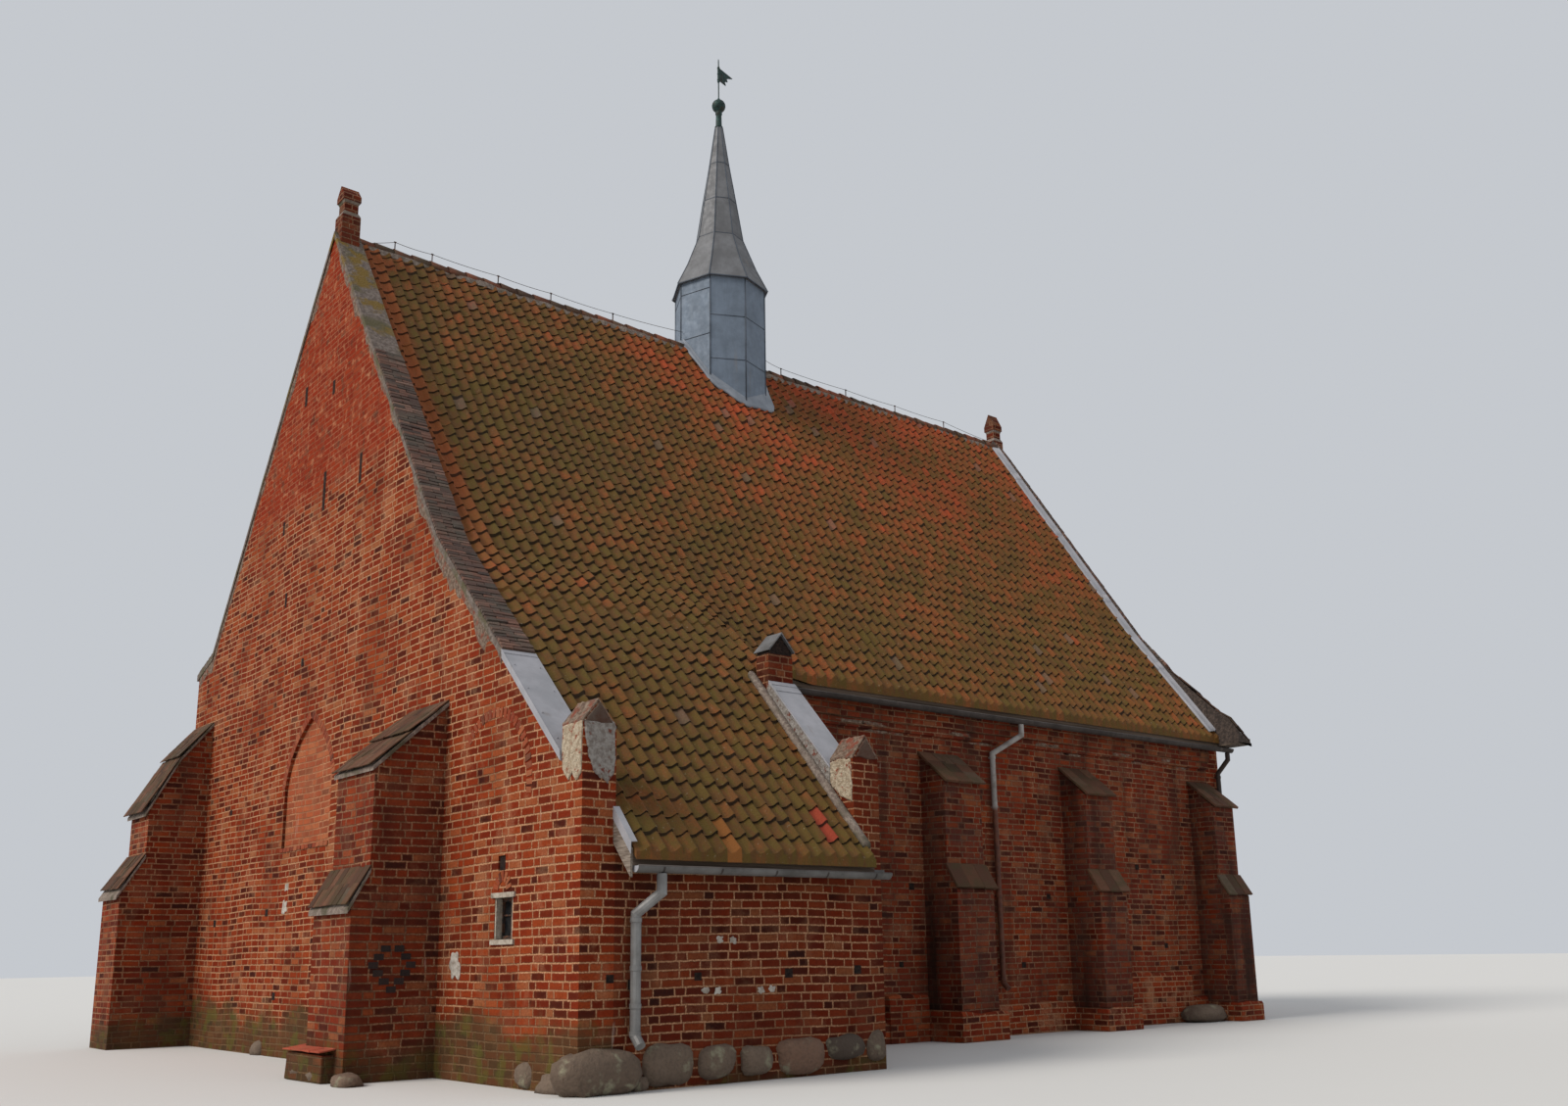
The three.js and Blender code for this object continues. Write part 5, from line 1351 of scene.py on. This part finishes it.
for name, x_from, x_to, y, z, hand, metal in troughs:
    dress(metal, name)
    beads.append(
        swept([(x_from, y + hand * 0.064, z + 0.004), (x_to, y + hand * 0.064, z + 0.004)], circle(0.010, 8)),
    )
    for x in np.arange(x_from + 0.35, x_to - 0.1, 0.82):
        band = np.vstack([arc, thin]) + (0, 0.004)
        band[:, 0] = np.clip(band[:, 0], -0.074, 0.074)
        straps.append(swept([(x - 0.013, y, z), (x + 0.013, y, z)], band))
    for x in np.arange(x_from + 2.0, x_to - 0.4, 2.9):
        straps.append(
            swept([(x - 0.03, y, z), (x + 0.03, y, z)], np.vstack([arc * 0.93, thin * 0.98]) + (0, 0.001)),
        )
piece("gutter_beads", beads, bead_zinc, slot="zinc", smooth=True)
piece("gutter_straps", straps, dark_gutter, slot="dark_zinc")
half_disc = circle(0.074, 9, math.pi, 2 * math.pi)
piece("gutter_ends", [
    swept([(x, -0.37, 2.447), (x + 0.006, -0.37, 2.447)], half_disc) for x in (0.474, 4.378)
], bright_zinc, slot="zinc")

# Downpipes: lengths of round pipe pushed into one another under collars, clipped to the wall.
# The sacristy's is grey zinc. The nave's are zinc above and painted dull brown below.
def turned(profile, centre, count=20):
    """A profile of radius and height turned about an upright line, closed flat at both ends."""
    profile = np.asarray(profile, float)
    turn = full_turn(count)
    spots = spots_at(profile[:, :1] * np.cos(turn), profile[:, :1] * np.sin(turn), profile[:, 1:])
    return ringed(spots + np.asarray(centre, float))


pipe_zinc = sheet_metal("pipe zinc", (0.27, 0.27, 0.265), (0.16, 0.155, 0.15), 0.48, 0.4, 0.4)
pipe_paint, tree, shader, spot_on = finish("brown pipe paint")
brown = layered(spot_on, (0.145, 0.052, 0.030), [(0.15, 0.35, 0.7, (0.070, 0.032, 0.022), 1.0, 6.0)])
grey = layered(spot_on, (0.33, 0.31, 0.29), [(0.2, 0.35, 0.7, (0.20, 0.175, 0.155))])
spot_xyz = numbers(spot_on)
bare = mul(eased(spot_xyz[2], 3.9, 4.0), short_of(spot_xyz[0], 15.0))
brown = tinted(eased(spot_xyz[0], 15.0, 16.0), brown, (0.045, 0.032, 0.027, 1))
tree.links.new(tinted(bare, brown, grey), shader["Base Color"])
shader["Roughness"].default_value = 0.55
bump(shader, cloudy(spot_on, 0.05, 0.3, 0.7), 0.002)
collars = {"sacristy": [], "nave": []}
for kind, x, y, hand, radius, heights, wall_y in (
    ("sacristy", 0.675, -0.10, -1, 0.060, (1.86, 1.33, 0.92, 0.62), 0.0),
    ("nave", 10.70, 3.36, -1, 0.050, (4.88, 3.98, 2.4, 0.95), NORTH_FACE),
    ("nave", 17.90, 3.36, -1, 0.050, (5.0, 3.6, 2.2, 0.75), NORTH_FACE),
    ("nave", 10.70, 14.50, 1, 0.050, (4.88, 3.98, 2.4, 0.95), SOUTH_FACE),
):
    for z in heights:
        rim = radius + 0.007
        collars[kind].append(turned([
            (radius, z - 0.030), (rim, z - 0.024), (rim, z + 0.024), (radius, z + 0.030),
        ], (x, y, 0.0)))
        clip = ((y + wall_y) / 2 - hand * 0.012, abs(y - wall_y) / 2)
        collars[kind].append(laid_bricks([(x, clip[0], z)], (0.010, clip[1], 0.012), rng, 0.0))
for kind, paint, slot, pipes in (
    ("sacristy", pipe_zinc, "zinc", ("sacristy_downpipe",)),
    ("nave", pipe_paint, "pipe_paint", ("north_downpipe", "north_corner_downpipe", "south_downpipe")),
):
    piece(kind + "_pipe_collars", collars[kind], paint, slot=slot)
    dress(paint, *pipes)

# Verge board: a grey weathered board closes the sacristy roof's open end beside the stump, with a
# strip of zinc along its top.
grey_timber = coated("grey weathered board", (0.13, 0.098, 0.076), [
    (0.025, 0.35, 0.65, (0.27, 0.225, 0.185)),
], 0.86, (0.012, 0.3, 0.7), 0.003, stretch=(1.0, 0.12, 1.0), turn=(-0.843, 0.0, 0.0))
dress(grey_timber, "verge_board")
path = [(0.425, -0.375, 2.665), (0.425, 0.0, 3.086)]
strip = np.array(
    [(-0.012, -0.09), (-0.006, -0.09), (-0.004, 0.044), (0.075, 0.050), (0.075, 0.056), (-0.010, 0.052)],
)
piece("verge_strip", [swept(path, strip, x_axis)], bright_zinc, slot="zinc")

# Ridge turret: sheets of grey-blue zinc on an eight-sided drum, joined by upright seams at the
# corners and level laps between. The spire's sheets are browner and stand in four tiers.
dress(dull_zinc, "turret_drum")
dress(sheet_metal("spire zinc", (0.170, 0.172, 0.180), (0.118, 0.118, 0.122)), "turret_spire")
TURRET_X, DRUM, EAVE_Z = 8.750, 1.000, 15.650
corner_turn = np.radians(-4 + 45 * np.arange(8))
rim_way = spots_at(np.cos(corner_turn), np.sin(corner_turn), 0)
axis_foot = np.array([TURRET_X, RIDGE_Y, 0.0])
seam = circle(0.014, 6)
seams = []
for way in rim_way:
    across_way = np.array([-way[1], way[0], 0.0])
    spot = axis_foot + way * (DRUM + 0.003)
    low = RIDGE_Z - abs(spot[1] - RIDGE_Y) * ROOF_RISE
    seams.append(swept([spot + (0, 0, low + 0.03), spot + (0, 0, EAVE_Z - 0.01)], seam, way, across_way))
laps = [(3, 15.37), (3, 14.32), (4, 15.37), (4, 14.32), (5, 14.75), (5, 13.75), (6, 14.75), (6, 13.75),
        (7, 15.10), (0, 14.75), (1, 15.37), (1, 14.32), (2, 14.75), (2, 15.37), (7, 14.32), (0, 15.37)]
lip = np.array([(-0.004, -0.010), (0.007, -0.010), (0.007, 0.004), (-0.004, 0.010)])
for side_no, z in laps:
    start, stop = (axis_foot + DRUM * rim_way[k % 8] + (0, 0, z) for k in (side_no, side_no + 1))
    middle = (start + stop) / 2 - axis_foot
    outward = np.array([middle[0], middle[1], 0.0]) / math.hypot(middle[0], middle[1])
    if z > RIDGE_Z - min(abs(start[1] - RIDGE_Y), abs(stop[1] - RIDGE_Y)) * ROOF_RISE + 0.1:
        seams.append(swept([start, stop], lip, outward, z_axis))
piece("drum_seams", seams, seam_zinc, slot="zinc", smooth=True)
tiers = np.array(
    [(1.080, EAVE_Z), (0.830, 16.17), (0.535, 16.93), (0.387, 17.87), (0.230, 18.83), (0.090, 19.81)],
)
hips = []
for way in rim_way:
    across_way = np.array([-way[1], way[0], 0.0])
    line = axis_foot + way * tiers[:, :1] + z_axis * tiers[:, 1:]
    hips.append(swept(line, seam * np.linspace(1.0, 0.7, 6)[:, None, None], way, across_way))
for radius, z in tiers[2:5]:
    ring = axis_foot + rim_way * radius + (0, 0, z)
    hips.append(swept(ring, lip * 1.1, rim_way, loop=True))
rolled = np.array([(-0.030, -0.012), (0.000, -0.016), (0.000, 0.008), (-0.012, 0.014)])
hips.append(swept(axis_foot + rim_way * 1.080 + (0, 0, EAVE_Z), rolled, rim_way, loop=True))
piece("spire_seams", hips, seam_zinc, slot="zinc")

# Apron: sheets of zinc dressed over the tiles around the drum's foot, a little wider in places. They
# turn up against the drum all round.
rng = np.random.default_rng(101)
count = 64
turn = full_turn(count)
nearest = np.radians(-4 + 22.5 + 45 * np.round((np.degrees(turn) + 4 - 22.5) / 45))
foot_radius = DRUM * math.cos(math.pi / 8) / np.cos(turn - nearest)
way = np.stack([np.cos(turn), np.sin(turn)], 1)
downhill = np.abs(way[:, 1])
reach = 0.055 + 0.04 * (1 - downhill) + 0.03 * np.abs(np.sin(2.5 * turn + 0.6))
reach += np.abs(wandering(count, 0.015, rng, 1))
reach += 0.16 * np.exp(-((np.degrees(turn) - 300) / 14) ** 2)
layers = []
for out_by, above_roof in (
    (-0.004, 0.245), (0.010, 0.245), (0.016, 0.205), (0.5 * reach, 0.190), (reach, 0.172), (reach, 0.110),
    (0.5 * reach, 0.120), (-0.004, 0.12),
):
    plan = way * (foot_radius + out_by)[:, None]
    z = RIDGE_Z - np.abs(plan[:, 1]) * ROOF_RISE + above_roof
    z -= 0.3 * np.maximum(0.16 - np.abs(plan[:, 1]), 0.0) - (above_roof < 0.2) * 0.006 * np.sin(9 * turn)
    layers.append(np.column_stack([plan + (TURRET_X, RIDGE_Y), z]))
apron_zinc = sheet_metal("apron zinc", (0.27, 0.29, 0.325), (0.20, 0.22, 0.25), 0.55, 0.15, 0.3)
piece("turret_apron", [ringed(np.stack(layers, 1), loop=True)], apron_zinc, slot="zinc", smooth=True)

# Finial: a ball of beaten copper on a neck at the spire's tip, with the vane's iron rod through it.
# Copper and iron have gone dark green and black.
patina = coated("dark copper patina", (0.018, 0.030, 0.028), [
    (0.06, 0.35, 0.65, (0.030, 0.070, 0.062)), (0.12, 0.52, 0.68, (0.040, 0.028, 0.020)),
], 0.5, (0.03, 0.3, 0.7), 0.003, metallic=0.35)
dress(patina, "turret_finial", "weather_vane")
swing = np.radians(np.linspace(-62, 80, 22))
ball = np.stack([0.155 * np.cos(swing), 20.38 + 0.155 * np.sin(swing)], 1)
profile = np.vstack([
    [(0.092, 19.812), (0.092, 19.84), (0.070, 19.86), (0.064, 20.14), (0.078, 20.17), (0.078, 20.20)],
    ball[ball[:, 1] > 20.235], [(0.030, 20.545), (0.030, 20.57), (0.014, 20.58), (0.014, 20.995),
    (0.030, 21.01), (0.030, 21.038), (0.0135, 21.039), (0.0135, 21.55), (0.009, 21.598)],
])
made = piece("ball_and_rod", [
    turned(profile, (TURRET_X, RIDGE_Y, 0.0), 32),
    turned([(0.1545, 20.366), (0.1545, 20.394)], (TURRET_X, RIDGE_Y, 0.0), 32),
], patina, slot="copper", smooth=True)
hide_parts("turret_finial")

# Weather vane: a swallow-tailed pennant of sheet copper, stiffened by flat bars and held by rings on
# a sleeve that turns on the rod.
flag_turn = math.radians(15)
flag_way = np.array([math.cos(flag_turn), math.sin(flag_turn), 0.0])
flag_side = np.array([-flag_way[1], flag_way[0], 0.0])
pivot = np.array([TURRET_X, RIDGE_Y, 21.040])
bar = np.array([(-0.007, -0.006), (0.007, -0.006), (0.007, 0.006), (-0.007, 0.006)])
outline = np.array([
    (0.028, 0.022), (0.262, 0.022), (0.218, 0.110), (0.330, 0.152), (0.295, 0.222), (0.512, 0.338),
    (0.028, 0.338),
])
stiffening = [
    ((0.03, 0.12), (0.21, 0.12)), ((0.03, 0.23), (0.29, 0.23)), ((0.12, 0.03), (0.12, 0.33)),
    ((0.21, 0.12), (0.21, 0.33)),
]
bars = []
for lines, scale in ((zip(outline, np.roll(outline, -1, 0)), 1.0), (stiffening, 0.8)):
    for (out0, up0), (out1, up1) in lines:
        run = np.array([out1 - out0, up1 - up0]) / math.hypot(out1 - out0, up1 - up0)
        ends = [pivot + flag_way * o + z_axis * u for o, u in ((out0, up0), (out1, up1))]
        bars.append(swept(ends, bar * scale, flag_side, -run[1] * flag_way + run[0] * z_axis))
ring = np.array([(0.0265, -0.012), (0.032, -0.010), (0.032, 0.010), (0.0265, 0.012)])
turn = full_turn(20)
way = spots_at(np.cos(turn), np.sin(turn), 0)
for height in (0.03, 0.18, 0.33):
    bars.append(swept(np.repeat([pivot + (0, 0, height)], 20, 0), ring, way, loop=True))
piece("vane_bars", bars, patina, body="vane", slot="copper")

# Lightning conductor: a thin wire runs along the ridge on little iron holders and hangs down from
# the drum to the ridge behind it.
holders = np.array([1.23, 1.97, 3.35, 4.52, 5.98, 10.48, 12.46, 14.07, 15.77])
posts = spots_at(holders, RIDGE_Y, 14.300)
wire_metal = coated("thin grey wire", (0.16, 0.15, 0.145), [
    (0.10, 0.35, 0.7, (0.09, 0.075, 0.065)),
], 0.5, (0.02, 0.3, 0.7), 0.001, metallic=0.6)


def slack_line(points, sag, steps=8):
    """A wire through points: straight from one to the next, less sag times a parabola between."""
    points = np.asarray(points, float)
    part = np.linspace(0, 1, steps, endpoint=False)
    lines = points[:-1, None] + (points[1:] - points[:-1])[:, None] * part[None, :, None]
    lines[..., 2] -= sag * 4 * part * (1 - part)
    return np.vstack([lines.reshape(-1, 3), points[-1:]])


near_line = slack_line(
    [(0.40, RIDGE_Y, 14.115), *((x, RIDGE_Y, 14.395) for x in holders[:5]), (7.755, RIDGE_Y, 14.50)], 0.018,
)
far_line = slack_line([
    (9.745, RIDGE_Y, 15.05), (9.93, RIDGE_Y, 14.50), *((x, RIDGE_Y, 14.395) for x in holders[5:]),
    (17.63, 9.0, 14.30),
], 0.018)
wires = [swept(line, circle(0.0055, 5)) for line in (near_line, far_line)]
piece("conductor_wire", wires, wire_metal, slot="dark_zinc", smooth=True)
piece("conductor_holders", [
    laid_bricks(posts, (0.008, 0.008, 0.095), rng, 0.001),
    laid_bricks(posts + (0, 0, 0.095), (0.022, 0.010, 0.010), rng, 0.001),
    laid_bricks(posts - (0, 0, 0.080), (0.040, 0.030, 0.008), rng, 0.001),
], old_iron, slot="dark_zinc")

# Foot of the long walls: a low skin of later brickwork stands before the wall and wraps the
# buttresses, higher in some stretches, with crumbling mortar on its ledge.
rng = np.random.default_rng(111)
skin = np.array([
    (4.62, 7.90, 0.10, 0.34), (7.90, 8.80, 0.12, 0.74), (8.80, 9.92, 0.87, 0.46), (9.92, 12.60, 0.12, 0.52),
    (12.60, 13.60, 0.86, 0.40), (13.60, 16.30, 0.13, 0.98), (16.30, 16.85, 0.10, 0.45),
    (16.85, 17.64, 0.85, 0.36),
])
skins = []
for face, hand in ((NORTH_FACE, -1), (SOUTH_FACE, 1)):
    for x0, x1, out, top in skin:
        if hand > 0:
            x0, out, top = (0.5 if x0 < 5 else x0), out - 0.03, top * 0.8
        count = max(3, round((x1 - x0) / 0.15))
        x = np.linspace(x0, x1, count)
        height = top + wandering(count, 0.018, rng, 1)
        inner_y, outer_y = face + hand * 0.004, face + hand * out
        rings = np.stack([
            spots_at(x, inner_y, 0.004), spots_at(x, outer_y, 0.004), spots_at(x, outer_y, height - 0.05),
            spots_at(x, outer_y - hand * 0.03, height), spots_at(x, inner_y, height + 0.02),
        ], 1)
        skins.append(ringed(rings))
later_brick = brickwork("later foot brick", glow=1.05, soot_and_shade=0.25, bare=0.4, foot=0.0, depth=0.012)
piece("foot_brickwork", skins, later_brick, slot="brick")

# Church door: upright oak boards, pointed at the top, on two iron straps, with a ring to pull. A ring
# of bricks on end frames the doorway, and a worn stone sill lies in it.
door_wood, tree, shader, spot_on = finish("old oak")
grain = cloudy(stretched(spot_on, (1.0, 1.0, 0.08)), 0.02, 0.35, 0.65, detail=6.0)
oak = tinted(grain, (0.060, 0.036, 0.022, 1), (0.15, 0.095, 0.058, 1))
lot = wire(tree, "ShaderNodeNewGeometry").outputs["Random Per Island"]
tree.links.new(tinted(mul(lot, 0.4), oak, (0.13, 0.10, 0.075, 1)), shader["Base Color"])
shader["Roughness"].default_value = 0.72
bump(shader, grain, 0.003)
dress(door_wood, "west_door")
DOOR_HALF, DOOR_SPRING, DOOR_APEX, LEAF_X = 0.620, 1.500, 2.450, 17.900


def door_curve(t):
    """One side of the pointed doorway, from springing (0) to apex (1): a quadratic curve. Distance
    from the middle line, and height."""
    half = (1 - t) ** 2 * DOOR_HALF + 2 * t * (1 - t) * DOOR_HALF * 0.85
    rise = 2 * t * (1 - t) * 0.62 + t**2
    return half, DOOR_SPRING + (DOOR_APEX - DOOR_SPRING) * rise


t = np.linspace(1, 0, 60)
curve_out, curve_up = door_curve(t)
edges = np.linspace(-DOOR_HALF + 0.012, DOOR_HALF - 0.012, 8)
boards = []
for y0, y1 in zip(edges[:-1] + 0.003, edges[1:] - 0.003):
    y = np.linspace(y0, y1, 5)
    top = np.interp(np.abs(y), curve_out, curve_up) - 0.015
    outline = np.vstack([[(y0, 0.012), (y1, 0.012)], np.column_stack([y, top])[::-1]])
    boards.append(swept([(LEAF_X - 0.002, RIDGE_Y, 0), (LEAF_X + 0.024, RIDGE_Y, 0)], outline))
piece("door_boards", boards, door_wood, slot="timber", edge=0.003)
iron = [
    laid_bricks([(LEAF_X + 0.030, RIDGE_Y - 0.08, z)], (0.006, 0.50, 0.022), rng, 0.002)
    for z in (0.42, 1.36)
]
studs = np.array(
    [(LEAF_X + 0.038, RIDGE_Y + y, z) for z in (0.42, 1.36) for y in np.linspace(-0.52, 0.36, 8)],
)
iron.append(laid_bricks(studs, (0.006, 0.010, 0.010), rng, 0.001))
turn = full_turn(24)
ring_way = spots_at(0, np.cos(turn), np.sin(turn))
iron.append(swept(
    np.array([LEAF_X + 0.040, RIDGE_Y + 0.44, 1.03]) + 0.055 * ring_way, circle(0.007, 6), ring_way,
    x_axis, loop=True,
))
iron.append(laid_bricks([(LEAF_X + 0.032, RIDGE_Y + 0.44, 1.09)], (0.012, 0.026, 0.030), rng, 0.001))
piece("door_iron", iron, old_iron, slot="dark_zinc")
ring_bricks = []
for hand in (-1, 1):
    t = np.linspace(0.03, 0.97, 13)
    out, up = door_curve(t)
    run = np.stack([np.gradient(hand * out), np.gradient(up)], 1)
    run /= np.linalg.norm(run, axis=1, keepdims=True)
    normal = np.stack([run[:, 1], -run[:, 0]], 1) * hand
    middle = np.stack([RIDGE_Y + hand * out, up], 1) + 0.09 * normal
    ring_bricks.append(bricks_on_curve(18.04, middle, normal, run, (0.030, 0.075, 0.036), rng))
    jamb = [(18.04, RIDGE_Y + hand * (DOOR_HALF + 0.09), z) for z in np.arange(0.06, DOOR_SPRING, 0.10)]
    ring_bricks.append(laid_bricks(jamb, (0.030, 0.075, 0.042), rng, 0.003))
piece("door_arch_bricks", ring_bricks, loose_brick, edge=0.004)
piece(
    "door_sill", [laid_bricks([(17.86, RIDGE_Y, 0.0035)], (0.18, 0.60, 0.0030), rng, 0.0)], pale_stone,
    slot="stone",
)
